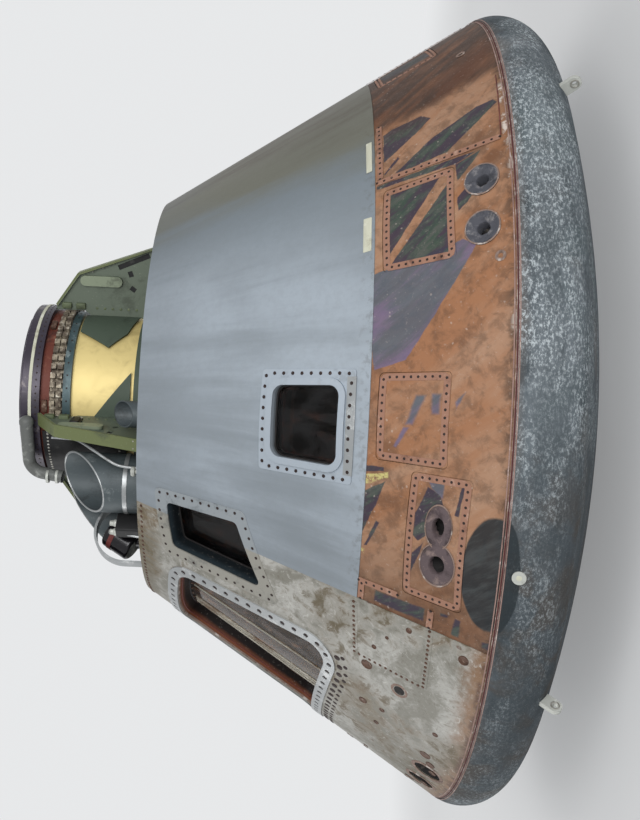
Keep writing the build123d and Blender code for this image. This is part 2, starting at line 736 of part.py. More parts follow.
# Gussets between the tunnel and the deck's edge
root_r = band_outer + FIT
neck_r = LINK_RING_RADIUS + LINK_PROUD + FIT
foot_r = deck_radius - GUSSET_FOOT_INSET
tip_r = DOCKING_RING_RADIUS + GUSSET_TIP_REACH
tip_z = DOCKING_RING_Z - FIT
shoulder_r = tip_r + (foot_r - tip_r) * GUSSET_SHOULDER_SHARE
shoulder_z = DECK_Z + GUSSET_SHOULDER_RISE
gusset_outline = (
    (root_r, DECK_TOP),
    (foot_r, DECK_TOP),
    (shoulder_r, shoulder_z),
    (tip_r, tip_z),
    (neck_r, tip_z),
    (neck_r, TUNNEL_RING_Z),
    (root_r, TUNNEL_TOP_Z - TUNNEL_RING_HEIGHT),
)
flange_outline = (
    (foot_r, DECK_TOP),
    (shoulder_r, shoulder_z),
    (tip_r, tip_z),
    (tip_r - GUSSET_FLANGE, tip_z - GUSSET_FLANGE),
    (shoulder_r - GUSSET_FLANGE, shoulder_z - GUSSET_FLANGE),
    (foot_r - GUSSET_FLANGE, DECK_TOP),
)


def draw_outline(points):
    """Closed straight-sided face through points, in the open sketch."""
    with BuildLine() as outline:
        Polyline(*points, close=True)
    make_face(outline.edges())


for gusset in GUSSETS:
    plane = radial_plane(gusset.angle)
    with BuildPart() as gusset_part:
        with BuildSketch(plane):
            draw_outline(gusset_outline)
            for hole in WEB_HOLES:
                with Locations(Location((TUNNEL_RADIUS + hole.out, DECK_Z + hole.rise), hole.turn)):
                    Rectangle(hole.length, hole.width, mode=Mode.SUBTRACT)
        extrude(amount=GUSSET_WEB / 2, both=True)
        with BuildSketch(plane):
            draw_outline(flange_outline)
        extrude(amount=GUSSET_FLANGE_WIDTH / 2, both=True)
        with BuildSketch(plane):
            with Locations((TUNNEL_RADIUS + BEAD_OUT, DECK_Z + BEAD_RISE)):
                SlotOverall(BEAD_LENGTH, BEAD_WIDTH, rotation=90)
        extrude(amount=GUSSET_WEB / 2 + BEAD_PROUD, both=True)
    save(gusset_part.part, "gusset_" + gusset.name)


def apron_plate(apron):
    """Thin plate wrapped round the tunnel, its root along the face of a gusset's web."""
    inner = TUNNEL_RADIUS + APRON_CLEARANCE
    outer = inner + APRON_THICKNESS
    arc = abs(apron.web_angle) - math.degrees((GUSSET_WEB / 2 + FIT) / inner)
    middle = apron.web_angle / 2
    turn = math.radians(middle)
    facing = Plane(origin=(0, 0, DECK_Z), x_dir=(-math.sin(turn), math.cos(turn), 0), z_dir=polar(1, middle))
    with BuildPart() as plate:
        revolve_ring(inner, outer, DECK_TOP, TUNNEL_TOP_Z, start=0 if apron.web_angle > 0 else -arc, arc=arc)
        with BuildSketch(facing):
            draw_outline([(outer * math.sin(math.radians(angle - middle)), rise) for angle, rise in apron.outline])
        extrude(amount=2 * outer, mode=Mode.INTERSECT)
    return plate.part


with BuildPart() as tunnel_aprons:
    for apron in APRONS:
        add(apron_plate(apron))
    mirror(about=Plane.YZ)
save(tunnel_aprons.part, "tunnel_aprons")

# Scarfed cans that stand on the deck, midway between tunnel and shell
bay_middle = (TUNNEL_RADIUS + deck_radius) / 2
Can = namedtuple("Can", "radius wall floor place_r angle mouth_z towards")


def scarfed_can(can):
    """Can closed below, its mouth cut on a slant that faces one way."""
    x, y, z = polar(can.place_r, can.angle, DECK_TOP)
    lean = polar(math.sin(math.radians(CAN_SCARF)), can.towards, math.cos(math.radians(CAN_SCARF)))
    height = can.mouth_z - z + 2 * can.radius
    with BuildPart() as piece:
        with BuildSketch(Plane(origin=(x, y, z))):
            Circle(can.radius)
        extrude(amount=height)
        with BuildSketch(Plane(origin=(x, y, z + can.floor))):
            Circle(can.radius - can.wall)
        extrude(amount=height, mode=Mode.SUBTRACT)
        split(bisect_by=Plane(origin=(x, y, can.mouth_z), z_dir=lean), keep=Keep.BOTTOM)
    return piece.part


mortar_can = Can(
    CAN_RADIUS, CAN_WALL, CAN_FLOOR, bay_middle + CAN_OUT, CAN_PLACE_ANGLE, DECK_Z + CAN_MOUTH_RISE, CAN_SCARF_TOWARDS
)
pilot_tube = Can(
    PILOT_RADIUS,
    PILOT_WALL,
    PILOT_FLOOR,
    bay_middle + PILOT_OUT,
    PILOT_PLACE_ANGLE,
    DECK_Z + PILOT_MOUTH_RISE,
    PILOT_PLACE_ANGLE,
)
save_pair(scarfed_can(mortar_can), "mortar_can")
save_pair(scarfed_can(pilot_tube), "pilot_tube")

# Leaning canister on its post, under a hoop that stands on the deck
hoop_plane = radial_plane(HATCH_ANGLE)
hoop_outer = HOOP_RADIUS + HOOP_BAND
hoop_r = deck_radius - HOOP_EDGE_GAP - hoop_outer
hoop_centre = (hoop_r, DECK_TOP + HOOP_STRAIGHT)
with BuildPart() as canister_hoop:
    with BuildSketch(hoop_plane):
        for radius, mode in ((hoop_outer, Mode.ADD), (HOOP_RADIUS, Mode.SUBTRACT)):
            with Locations(hoop_centre):
                Circle(radius, mode=mode)
            with Locations((hoop_r, DECK_TOP + HOOP_STRAIGHT / 2)):
                Rectangle(2 * radius, HOOP_STRAIGHT, mode=mode)
        with Locations((hoop_r, DECK_TOP - hoop_outer)):
            Rectangle(2 * hoop_outer, 2 * hoop_outer, mode=Mode.SUBTRACT)
    extrude(amount=HOOP_WIDTH / 2, both=True)
save(canister_hoop.part, "canister_hoop")

lean = math.radians(CANISTER_LEAN)
canister_axis = polar(-math.sin(lean), HATCH_ANGLE, math.cos(lean))
canister_middle = polar(hoop_r + CANISTER_OUT, HATCH_ANGLE, DECK_Z + CANISTER_RISE)
with BuildPart() as canister:
    with BuildSketch(Plane(origin=canister_middle - canister_axis * (CANISTER_LENGTH / 2), z_dir=canister_axis)):
        Circle(CANISTER_RADIUS)
    extrude(amount=CANISTER_LENGTH)
    fillet(canister.edges().filter_by(GeomType.CIRCLE), CANISTER_ROUND)
    with BuildSketch(Plane(origin=(canister_middle.X, canister_middle.Y, DECK_TOP))):
        Circle(CANISTER_POST_RADIUS)
    extrude(amount=CANISTER_RISE - FIT)
save(canister.part, "canister")

# Vent pipe that runs round the docking ring and turns down to the mortar can
pipe_r = stripe_outer + PIPE_RADIUS + FIT
pipe_z = DOCKING_RING_Z + PIPE_LEVEL
pipe_run_r = pipe_r / math.cos(math.radians(PIPE_TURN / 2))
pipe_route = (
    polar(pipe_run_r, PIPE_START_ANGLE, pipe_z),
    polar(pipe_run_r, PIPE_START_ANGLE - PIPE_TURN, pipe_z),
    polar(pipe_run_r + PIPE_RADIUS, PIPE_START_ANGLE - 2 * PIPE_TURN, pipe_z),
    polar(pipe_run_r + 2 * PIPE_RADIUS, PIPE_START_ANGLE - 2 * PIPE_TURN, pipe_z - PIPE_DROP),
)
with BuildPart() as vent_pipe:
    with BuildLine() as pipe_line:
        FilletPolyline(*pipe_route, radius=PIPE_BEND)
    with BuildSketch(Plane(origin=pipe_line.line @ 0, z_dir=pipe_line.line % 0)):
        Circle(PIPE_RADIUS)
        Circle(PIPE_RADIUS - PIPE_WALL, mode=Mode.SUBTRACT)
    sweep(path=pipe_line.line)
save(vent_pipe.part, "vent_pipe")

# Lifting lugs, their roots shaped to the rounded corner and their eyes clear of it
lug_bearing = math.radians(LUG_BEARING)
lug_root = corner_point(CORNER_RADIUS + FIT, lug_bearing)
lug_eye = corner_point(CORNER_RADIUS + FIT + LUG_REACH, lug_bearing)
lug_spread = math.degrees(LUG_THICKNESS / CORNER_CENTRE_R)
with BuildPart() as lifting_lugs:
    for lug_offset in LUG_OFFSETS:
        lug_angle = HANG_ANGLE + lug_offset
        with BuildPart() as lug:
            with BuildSketch(radial_plane(lug_angle)):
                with Locations(lug_eye):
                    Circle(LUG_HALF_WIDTH)
                with Locations(Location(lug_root, LUG_BEARING)):
                    Rectangle(2 * LUG_REACH, 2 * LUG_HALF_WIDTH)
                with Locations(lug_eye):
                    Circle(LUG_EYE_RADIUS, mode=Mode.SUBTRACT)
            extrude(amount=LUG_THICKNESS / 2, both=True)
            with BuildSketch(radial_plane(lug_angle - lug_spread)):
                with Locations((CORNER_CENTRE_R, CORNER_CENTRE_Z)):
                    Circle(CORNER_RADIUS + FIT)
            revolve(axis=Axis.Z, revolution_arc=2 * lug_spread, mode=Mode.SUBTRACT)
        add(lug.part)
save(lifting_lugs.part, "lifting_lugs")

# Three couches on legs, bent at head, hips and knees
couch_z = FLOOR_Z + COUCH_RISE
couch_end = COUCH_LENGTH / 2
couch_line = (
    (-couch_end, couch_z + COUCH_HEAD_RISE),
    (-couch_end + COUCH_KNEE, couch_z + COUCH_KNEE_RISE),
    (-couch_end + COUCH_HIP, couch_z),
    (couch_end - COUCH_HEAD, couch_z),
    (couch_end, couch_z + COUCH_HEAD_RISE),
)
couch_top = [(y, z + COUCH_THICKNESS) for y, z in reversed(couch_line)]
with BuildPart() as couches:
    for column in (-1, 0, 1):
        x = column * COUCH_SPACING
        with BuildSketch(Plane.YZ.offset(x)):
            draw_outline(couch_line + tuple(couch_top))
        extrude(amount=COUCH_WIDTH / 2, both=True)
        with BuildSketch(Plane.XY.offset(FLOOR_Z + FIT)):
            with Locations((x, -COUCH_LEG_PLACE), (x, COUCH_LEG_PLACE)):
                Rectangle(COUCH_WIDTH / 2, COUCH_LEG)
        extrude(amount=COUCH_RISE)
save(couches.part, "couches")

console_low = DECK_Z - DECK_THICKNESS - CONSOLE_DROP - CONSOLE_HEIGHT
with BuildPart() as console:
    with BuildSketch(Plane.XY.offset(console_low)):
        RectangleRounded(CONSOLE_WIDTH, CONSOLE_DEPTH, CONSOLE_CORNER)
    extrude(amount=CONSOLE_HEIGHT)
    with BuildSketch(Plane.XY.offset(console_low)):
        with Locations((-CONSOLE_STRUT_PLACE, 0), (CONSOLE_STRUT_PLACE, 0)):
            Rectangle(CONSOLE_STRUT_WIDTH, CONSOLE_STRUT_DEPTH)
    extrude(amount=CONSOLE_HEIGHT + CONSOLE_DROP - FIT)
save(console.part, "console")
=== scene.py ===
"""Blunt conical crew capsule, dressed: charred shield, scorched ablator, stained foil and open forward bay.

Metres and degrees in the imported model's own frame: +Z up the axis, the side hatch towards -Y. A place on the
cone is an angle round the axis from +X and a height over the seam where the cone meets the heat shield.
"""

from __future__ import annotations

import json
import logging
import math
from dataclasses import dataclass, field
from enum import Enum
from typing import Any, Sequence

import bpy
import numpy as np
from mathutils import Matrix, Vector

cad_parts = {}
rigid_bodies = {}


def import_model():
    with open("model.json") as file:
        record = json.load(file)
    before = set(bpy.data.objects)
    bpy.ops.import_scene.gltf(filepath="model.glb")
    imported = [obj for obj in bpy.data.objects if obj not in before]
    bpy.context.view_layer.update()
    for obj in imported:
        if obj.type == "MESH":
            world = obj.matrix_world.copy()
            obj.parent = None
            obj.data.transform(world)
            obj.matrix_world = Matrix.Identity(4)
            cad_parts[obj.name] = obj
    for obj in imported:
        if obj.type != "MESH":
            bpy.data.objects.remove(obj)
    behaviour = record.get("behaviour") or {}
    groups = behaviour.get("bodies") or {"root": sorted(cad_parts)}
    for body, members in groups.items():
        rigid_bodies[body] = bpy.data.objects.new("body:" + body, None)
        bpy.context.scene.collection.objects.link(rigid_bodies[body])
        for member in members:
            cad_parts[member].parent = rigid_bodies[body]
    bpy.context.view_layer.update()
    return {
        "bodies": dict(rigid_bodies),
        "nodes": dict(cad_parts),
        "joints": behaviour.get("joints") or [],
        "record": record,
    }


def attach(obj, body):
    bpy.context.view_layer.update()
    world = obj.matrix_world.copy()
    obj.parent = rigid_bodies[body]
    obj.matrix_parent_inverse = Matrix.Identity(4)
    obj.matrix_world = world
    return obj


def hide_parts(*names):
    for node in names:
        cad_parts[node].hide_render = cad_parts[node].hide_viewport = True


log = logging.getLogger("capsule")
Array = np.ndarray
Colour = tuple[float, float, float]
Row = tuple[tuple[float, float], tuple[float, float]]


def paint(red: int, green: int, blue: int) -> Colour:
    """Linear colour of a display colour given in steps of 0 to 255: the display curve, undone."""
    steps = np.array([red, green, blue]) / 255
    return tuple(float(v) for v in np.where(steps <= 0.04045, steps / 12.92, ((steps + 0.055) / 1.055) ** 2.4))


class Facing(Enum):
    """Which way round the axis a face looks."""

    AHEAD = 1.0
    BEHIND = -1.0


# Shader expressions


class Value:
    """A shader socket that takes part in Python expressions."""

    def __init__(self, graph: Graph, socket: bpy.types.NodeSocket) -> None:
        """Wrap a socket of a graph."""
        self.graph = graph
        self.socket = socket

    def _join(self, operation: str, first: Any, second: Any) -> Value:
        """Math node on two numbers, or Vector Math where either is a vector or colour."""
        spread = any(isinstance(v, Value) and v.socket.type in ("VECTOR", "RGBA") for v in (first, second))
        kind = "ShaderNodeVectorMath" if spread else "ShaderNodeMath"
        return self.graph.node(kind, {"operation": operation}, {0: first, 1: second})

    def __add__(self, other: Any) -> Value:
        """Sum."""
        return self._join("ADD", self, other)

    def __sub__(self, other: Any) -> Value:
        """Difference."""
        return self._join("SUBTRACT", self, other)

    def __mul__(self, other: Any) -> Value:
        """Product."""
        return self._join("MULTIPLY", self, other)

    def __truediv__(self, other: Any) -> Value:
        """Quotient."""
        return self._join("DIVIDE", self, other)

    def __rsub__(self, other: Any) -> Value:
        """Difference with the value on the right."""
        return self._join("SUBTRACT", other, self)

    __radd__ = __add__
    __rmul__ = __mul__

    def __abs__(self) -> Value:
        """Size without sign."""
        return self._join("ABSOLUTE", self, 0.0)

    def least(self, other: Any) -> Value:
        """The smaller of two numbers."""
        return self._join("MINIMUM", self, other)

    def most(self, other: Any) -> Value:
        """The larger of two numbers."""
        return self._join("MAXIMUM", self, other)

    def rise(self, low: float, high: float) -> Value:
        """Smooth step: 0 at low, 1 at high, or falling where low is above high.

        Args:
            low: where the step starts.
            high: where the step ends.

        Returns:
            The step as a number from 0 to 1.
        """
        if low > high:
            return 1.0 - self.rise(high, low)
        ends = {"Value": self, "From Min": low, "From Max": high}
        return self.graph.node("ShaderNodeMapRange", {"interpolation_type": "SMOOTHSTEP"}, ends)


class Graph:
    """Node tree of one material or world."""

    def __init__(self, owner: bpy.types.Material | bpy.types.World) -> None:
        """Empty the tree of a new material or world."""
        self.owner = owner
        owner.use_nodes = True
        self.tree = owner.node_tree
        self.tree.nodes.clear()
        self.place = self.node("ShaderNodeTexCoord", {}, {}, output=3)
        self.split: tuple[Value, ...] = ()

    def node(self, kind: str, settings: dict[str, Any], values: dict[Any, Any], output: int | str = 0) -> Value:
        """Add any node.

        Args:
            kind: Blender's name of the node type.
            settings: properties of the node, set first.
            values: numbers, colours or other values for its sockets, by name or number.
            output: number or name of the output that is wanted.

        Returns:
            That output, ready for expressions.
        """
        made = self.tree.nodes.new(kind)
        for name, setting in settings.items():
            setattr(made, name, setting)
        for name, value in values.items():
            socket = made.inputs[name]
            if isinstance(value, Value):
                self.tree.links.new(value.socket, socket)
            elif socket.type == "RGBA":
                socket.default_value = (*value, 1.0) if len(value) == 3 else value
            elif socket.type == "VECTOR" and isinstance(value, (int, float)):
                socket.default_value = (value, value, value)
            else:
                socket.default_value = value
        return Value(self, made.outputs[output])

    def mix(self, share: Any, first: Any, second: Any) -> Value:
        """Colour that goes from the first to the second as the share goes from 0 to 1."""
        return self.node("ShaderNodeMix", {"data_type": "RGBA"}, {0: share, 6: first, 7: second}, output=2)

    def vector(self, x: Any, y: Any, z: Any) -> Value:
        """Vector of three numbers."""
        return self.node("ShaderNodeCombineXYZ", {}, {0: x, 1: y, 2: z})

    def axes(self) -> tuple[Value, ...]:
        """The three object coordinates, split off once."""
        if not self.split:
            first = self.node("ShaderNodeSeparateXYZ", {}, {0: self.place})
            self.split = tuple(Value(self, output) for output in first.socket.node.outputs)
        return self.split

    def noise(self, scale: float, detail: float = 4.0, rough: float = 0.55, bend: float = 0.0, at: Any = None) -> Value:
        """Cloudy noise.

        Args:
            scale: clouds in a metre.
            detail: how many finer layers it has.
            rough: how strong they are.
            bend: how far it is distorted.
            at: vector at which it is read, the object coordinates if none is given.

        Returns:
            The noise, about 0.3 to 0.7.
        """
        values = {"Vector": self.place if at is None else at, "Scale": scale, "Detail": detail}
        return self.node("ShaderNodeTexNoise", {}, {**values, "Roughness": rough, "Distortion": bend})

    def cells(self, scale: float, at: Value) -> Value:
        """Distance to the nearest of scattered points, in cells."""
        return self.node("ShaderNodeTexVoronoi", {}, {"Vector": at, "Scale": scale})

    def around(self, folded: bool = False) -> tuple[Value, Value]:
        """Angle round the axis in degrees, and height over the seam, of each point.

        Args:
            folded: whether the left side takes the angles of its image on the right.

        Returns:
            The angle and the height.
        """
        x, y, z = self.axes()
        turn = self.node("ShaderNodeMath", {"operation": "ARCTAN2"}, {0: y, 1: abs(x) if folded else x})
        return turn * math.degrees(1.0), z - CONE.seam_level

    def reach(self) -> Value:
        """Distance from the axis."""
        x, y, _ = self.axes()
        return self.node("ShaderNodeMath", {"operation": "SQRT"}, {0: x * x + y * y})

    def depth(self) -> Value:
        """Distance under the cone's face: (seam radius - height * tan - radius) * cos of the slope."""
        face = CONE.seam_radius - (self.axes()[2] - CONE.seam_level) * math.tan(CONE.slope)
        return (face - self.reach()) * math.cos(CONE.slope)

    def finish(
        self, base: Any, rough: Any, metal: Any = 0.0, relief: Any = None, depth: float = 0.001, **extra: Any
    ) -> bpy.types.Material:
        """Close the tree with a surface shader.

        Args:
            base: colour.
            rough: roughness.
            metal: metallic share.
            relief: height of the bumps, none for a smooth surface.
            depth: height of a full bump in metres.
            extra: other sockets of the shader, spaces written as underscores.

        Returns:
            The finished material.
        """
        values = {"Base Color": base, "Roughness": rough, "Metallic": metal}
        if relief is not None:
            values["Normal"] = self.node("ShaderNodeBump", {}, {"Height": relief, "Distance": depth, "Strength": 1.0})
        values.update({name.replace("_", " "): value for name, value in extra.items()})
        return self.close(self.node("ShaderNodeBsdfPrincipled", {}, values))

    def close(self, shader: Value) -> Any:
        """Lead a shader to the tree's output, and give back the material or world."""
        kind = "Material" if isinstance(self.owner, bpy.types.Material) else "World"
        last = self.tree.nodes.new("ShaderNodeOutput" + kind)
        self.tree.links.new(shader.socket, last.inputs["Surface"])
        return self.owner


# Places and surfaces


def circle(count: int) -> Array:
    """Evenly spaced angles of a whole turn, in radians."""
    return np.linspace(0, 2 * math.pi, count, endpoint=False)


def directions(angle: Any) -> tuple[Array, Array, Array]:
    """Outward, round the axis and up, (N, 3) each, at angles round the axis in degrees."""
    turn = np.radians(np.atleast_1d(np.asarray(angle, float)))
    c, s, flat = np.cos(turn), np.sin(turn), np.zeros_like(turn)
    return np.stack([c, s, flat], -1), np.stack([-s, c, flat], -1), np.stack([flat, flat, flat + 1], -1)


def same_length(*values: Any) -> list[Array]:
    """Numbers and lists of numbers as arrays of one length."""
    return np.broadcast_arrays(*(np.atleast_1d(np.asarray(value, float)) for value in values))


@dataclass(frozen=True)
class Frames:
    """Places with their own axes: origins (N, 3) and axes (N, 3, 3), whose rows are across, along and outward."""

    origins: Array
    axes: Array


@dataclass(frozen=True)
class Cone:
    """The shell's conical face."""

    seam_radius: float = 1.92424
    seam_level: float = 0.66082
    slope: float = math.radians(33.0)

    def frames(self, angle: Any, height: Any, out: Any = 0.0) -> Frames:
        """Places on the cone: radius = seam radius - height * tan(slope), moved out along the normal.

        Args:
            angle: degrees round the axis.
            height: metres over the seam.
            out: metres proud of the face.

        Returns:
            Frames with rows round the axis, up the slope and outward.
        """
        angle, height, out = same_length(angle, height, out)
        outward, across, upward = directions(angle)
        sin, cos = math.sin(self.slope), math.cos(self.slope)
        normal = outward * cos + upward * sin
        face = outward * self.radius(height)[:, None] + upward * (self.seam_level + height)[:, None]
        return Frames(face + normal * out[:, None], np.stack([across, upward * cos - outward * sin, normal], 1))

    def radius(self, height: Any) -> Any:
        """Radius of the face at a height."""
        return self.seam_radius - height * math.tan(self.slope)


CONE = Cone()


def ring_frames(radius: float, level: float, angle: Any) -> Frames:
    """Places on an upright cylinder, with rows round the axis, upward and outward."""
    outward, across, upward = directions(angle)
    return Frames(outward * radius + upward * level, np.stack([across, upward, outward], 1))


def upright_frames(radius: Any, level: Any, angle: Any) -> Frames:
    """Places that face upward, with rows round the axis, inward and up."""
    radius, level, angle = same_length(radius, level, angle)
    outward, across, upward = directions(angle)
    origins = outward * radius[:, None] + upward * level[:, None]
    return Frames(origins, np.stack([across, -outward, upward], 1))


def oval(wide: float, tall: float, steps: int = 8) -> Array:
    """Points of an oval: wide cos a, tall sin a."""
    a = circle(steps)
    return np.stack([wide * np.cos(a), tall * np.sin(a)], -1)


def round_section(radius: float, wide: float, tall: float, steps: int = 8) -> Array:
    """Oval section of a ring at a radius."""
    return oval(wide, tall, steps) + [radius, 0.0]


def polar(radius: float, angle: float, level: float) -> tuple[float, float, float]:
    """Point at a radius, an angle in degrees and a level."""
    turn = math.radians(angle)
    return (radius * math.cos(turn), radius * math.sin(turn), level)


@dataclass
class Shape:
    """Mesh data: points (N, 3), four-sided faces and three-sided faces."""

    points: Array
    quads: Array = field(default_factory=lambda: np.zeros((0, 4), int))
    tris: Array = field(default_factory=lambda: np.zeros((0, 3), int))

    @staticmethod
    def grid(points: Array, wrap_rows: bool = False, wrap_columns: bool = False) -> Shape:
        """Surface over a grid of points (rows, columns, 3).

        Each face joins a point with the next in its row, the one diagonally on and the one below it.

        Args:
            points: the grid.
            wrap_rows: whether the last row joins the first.
            wrap_columns: whether the last column joins the first.

        Returns:
            The surface.
        """
        rows, columns = points.shape[:2]
        r = np.arange(rows if wrap_rows else rows - 1)[:, None]
        c = np.arange(columns if wrap_columns else columns - 1)[None, :]
        below, right = (r + 1) % rows, (c + 1) % columns
        corners = [r * columns + c, r * columns + right, below * columns + right, below * columns + c]
        quads = np.stack([np.broadcast_to(v, (r.size, c.size)).ravel() for v in corners], -1)
        return Shape(points.reshape(-1, 3), quads)

    @staticmethod
    def capped(points: Array) -> Shape:
        """Tube over a grid whose columns wrap, each end closed by a fan about its middle.

        Args:
            points: the grid (rows, columns, 3).

        Returns:
            The closed surface.
        """
        wall = Shape.grid(points, wrap_columns=True)
        count, sides = len(wall.points), points.shape[1]
        first = np.arange(sides)
        after = (first + 1) % sides
        last = count - sides
        foot = np.stack([after, first, np.full(sides, count)], -1)
        head = np.stack([last + first, last + after, np.full(sides, count + 1)], -1)
        ends = points[[0, -1]].mean(1)
        return Shape(np.concatenate([wall.points, ends]), wall.quads, np.concatenate([foot, head]))

    @staticmethod
    def lathe(profile: Sequence[tuple[float, float]], turns: int) -> Shape:
        """Closed surface of revolution about local z.

        A profile point (radius r, level h) makes the ring (r cos t, r sin t, h).

        Args:
            profile: radius and level from the foot up.
            turns: points in each ring.

        Returns:
            The closed surface.
        """
        line, t = np.asarray(profile, float), circle(turns)
        ring = np.stack([np.outer(line[:, 0], np.cos(t)), np.outer(line[:, 0], np.sin(t))], -1)
        level = np.broadcast_to(line[:, 1, None, None], ring.shape[:2] + (1,))
        return Shape.capped(np.concatenate([ring, level], -1))

    @staticmethod
    def turned(section: Sequence[tuple[float, float]], turns: int, swell: float = 0.0, stretch: float = 1.0) -> Shape:
        """Ring about local z whose section is a closed loop of radius and level.

        Point (r, h) at angle t becomes (r cos t, stretch r sin t, h (1 + swell (sin 3t + sin(7t + 1)) / 2)).

        Args:
            section: the loop, anticlockwise with the radius to the right.
            turns: points round the ring.
            swell: how uneven the levels are.
            stretch: how much longer the ring is along local y.

        Returns:
            The ring.
        """
        line, t = np.asarray(section, float), circle(turns)
        uneven = 1 + swell * (np.sin(3 * t) + np.sin(7 * t + 1)) / 2
        radius, level = line[:, :1], line[:, 1:]
        grid = np.stack([radius * np.cos(t), radius * np.sin(t) * stretch, level * uneven], -1)
        return Shape.grid(grid, wrap_rows=True, wrap_columns=True)

    @staticmethod
    def ribbon(path: Array, normals: Array, profile: Array, closed: bool) -> Shape:
        """A closed profile carried along a path.

        At each path point the profile's first number goes across, normal x tangent, and its second along the normal.

        Args:
            path: points (N, 3).
            normals: outward directions (N, 3).
            profile: points (M, 2), anticlockwise seen against the path.
            closed: whether the path is a loop.

        Returns:
            The band, its ends closed by fans where the path is open.
        """
        ahead = np.roll(path, -1, 0) - np.roll(path, 1, 0)
        if not closed:
            ahead[0], ahead[-1] = path[1] - path[0], path[-1] - path[-2]
        tangent = ahead / np.linalg.norm(ahead, axis=1, keepdims=True)
        across = np.cross(normals, tangent)
        across /= np.linalg.norm(across, axis=1, keepdims=True)
        upward = np.cross(tangent, across)
        grid = path[:, None] + across[:, None] * profile[None, :, 0, None] + upward[:, None] * profile[None, :, 1, None]
        return Shape.grid(grid, wrap_rows=True, wrap_columns=True) if closed else Shape.capped(grid)

    @staticmethod
    def tube(points: Sequence[Sequence[float]], radius: float, sides: int = 12, smooth: int = 8) -> Shape:
        """Round pipe through points, on a curve that rounds their corners.

        Args:
            points: the route.
            radius: of the pipe.
            sides: points round it.
            smooth: points that each leg is divided into.

        Returns:
            The closed pipe.
        """
        route = np.asarray(points, float)
        if len(route) > 2:
            route = rounded_route(route, smooth)
        return Shape.ribbon(route, steady_normals(route), oval(radius, radius, sides), closed=False)

    @staticmethod
    def slab(outline: Array, rings: Sequence[tuple[float, float]]) -> Shape:
        """Plate with shaped edges: the outline (N, 2), drawn in by each ring's inset, at that ring's level.

        Args:
            outline: points anticlockwise.
            rings: inset and level from the foot up, an inset as a share of the way to the middle.

        Returns:
            The closed plate.
        """
        middle = outline.mean(0)
        loops = [
            np.c_[middle + (outline - middle) * (1 - inset), np.full(len(outline), level)] for inset, level in rings
        ]
        return Shape.capped(np.stack(loops))

    def at(self, frames: Frames) -> Shape:
        """Copies of this shape at places: origin + x across + y along + z outward, for all places at once."""
        points = frames.origins[:, None] + np.einsum("vi,nij->nvj", self.points, frames.axes)
        step = np.arange(len(frames.origins))[:, None, None] * len(self.points)
        return Shape(points.reshape(-1, 3), (self.quads + step).reshape(-1, 4), (self.tris + step).reshape(-1, 3))

    def with_mirror(self) -> Shape:
        """This shape and its image across the plane through the hatch, the image's faces turned round."""
        image = Shape(self.points * [-1, 1, 1], self.quads[:, ::-1], self.tris[:, ::-1])
        return Shape.joined([self, image])

    @staticmethod
    def joined(shapes: Sequence[Shape]) -> Shape:
        """Several shapes as one."""
        starts = np.cumsum([0] + [len(shape.points) for shape in shapes[:-1]])
        return Shape(
            np.concatenate([shape.points for shape in shapes]),
            np.concatenate([shape.quads + start for shape, start in zip(shapes, starts)]),
            np.concatenate([shape.tris + start for shape, start in zip(shapes, starts)]),
        )


def rounded_route(route: Array, smooth: int) -> Array:
    """Curve through a route: each leg a cubic whose slopes at its ends are half the way between the neighbours.

    Args:
        route: points (N, 3).
        smooth: points on each leg.

    Returns:
        The curve's points.
    """
    before = np.concatenate([route[:1] * 2 - route[1:2], route[:-1]])
    beyond = np.concatenate([route[1:], route[-1:] * 2 - route[-2:-1]])
    slopes = (beyond - before) / 2
    t = np.linspace(0, 1, smooth, endpoint=False)[None, :, None]
    a, b, m, n = route[:-1, None], route[1:, None], slopes[:-1, None] * 0.7, slopes[1:, None] * 0.7
    curve = (2 * t**3 - 3 * t**2 + 1) * a + (t**3 - 2 * t**2 + t) * m + (3 * t**2 - 2 * t**3) * b + (t**3 - t**2) * n
    return np.concatenate([curve.reshape(-1, 3), route[-1:]])


def steady_normals(route: Array) -> Array:
    """Normals along a route: the axis direction that it follows least, made square to it."""
    ahead = np.gradient(route, axis=0)
    tangent = ahead / np.linalg.norm(ahead, axis=1, keepdims=True)
    reference = np.eye(3)[np.abs(tangent).max(0).argmin()]
    normal = reference - tangent * (tangent @ reference)[:, None]
    return normal / np.linalg.norm(normal, axis=1, keepdims=True)


def rounded_box(width: float, height: float, corner: float, steps: int = 4) -> Array:
    """Outline of a rectangle about the origin with rounded corners, anticlockwise.

    Corner k's points are its centre + corner * (cos t, sin t), t running over its quarter turn.

    Args:
        width: along x.
        height: along y.
        corner: radius.
        steps: points in each corner.

    Returns:
        Points (4 * steps, 2).
    """
    t = np.linspace(0, math.pi / 2, steps)[None, :] + (np.arange(4) * math.pi / 2)[:, None]
    signs = np.array([[1, 1], [-1, 1], [-1, -1], [1, -1]])
    centres = signs * [width / 2 - corner, height / 2 - corner]
    return (centres[:, None] + corner * np.stack([np.cos(t), np.sin(t)], -1)).reshape(-1, 2)


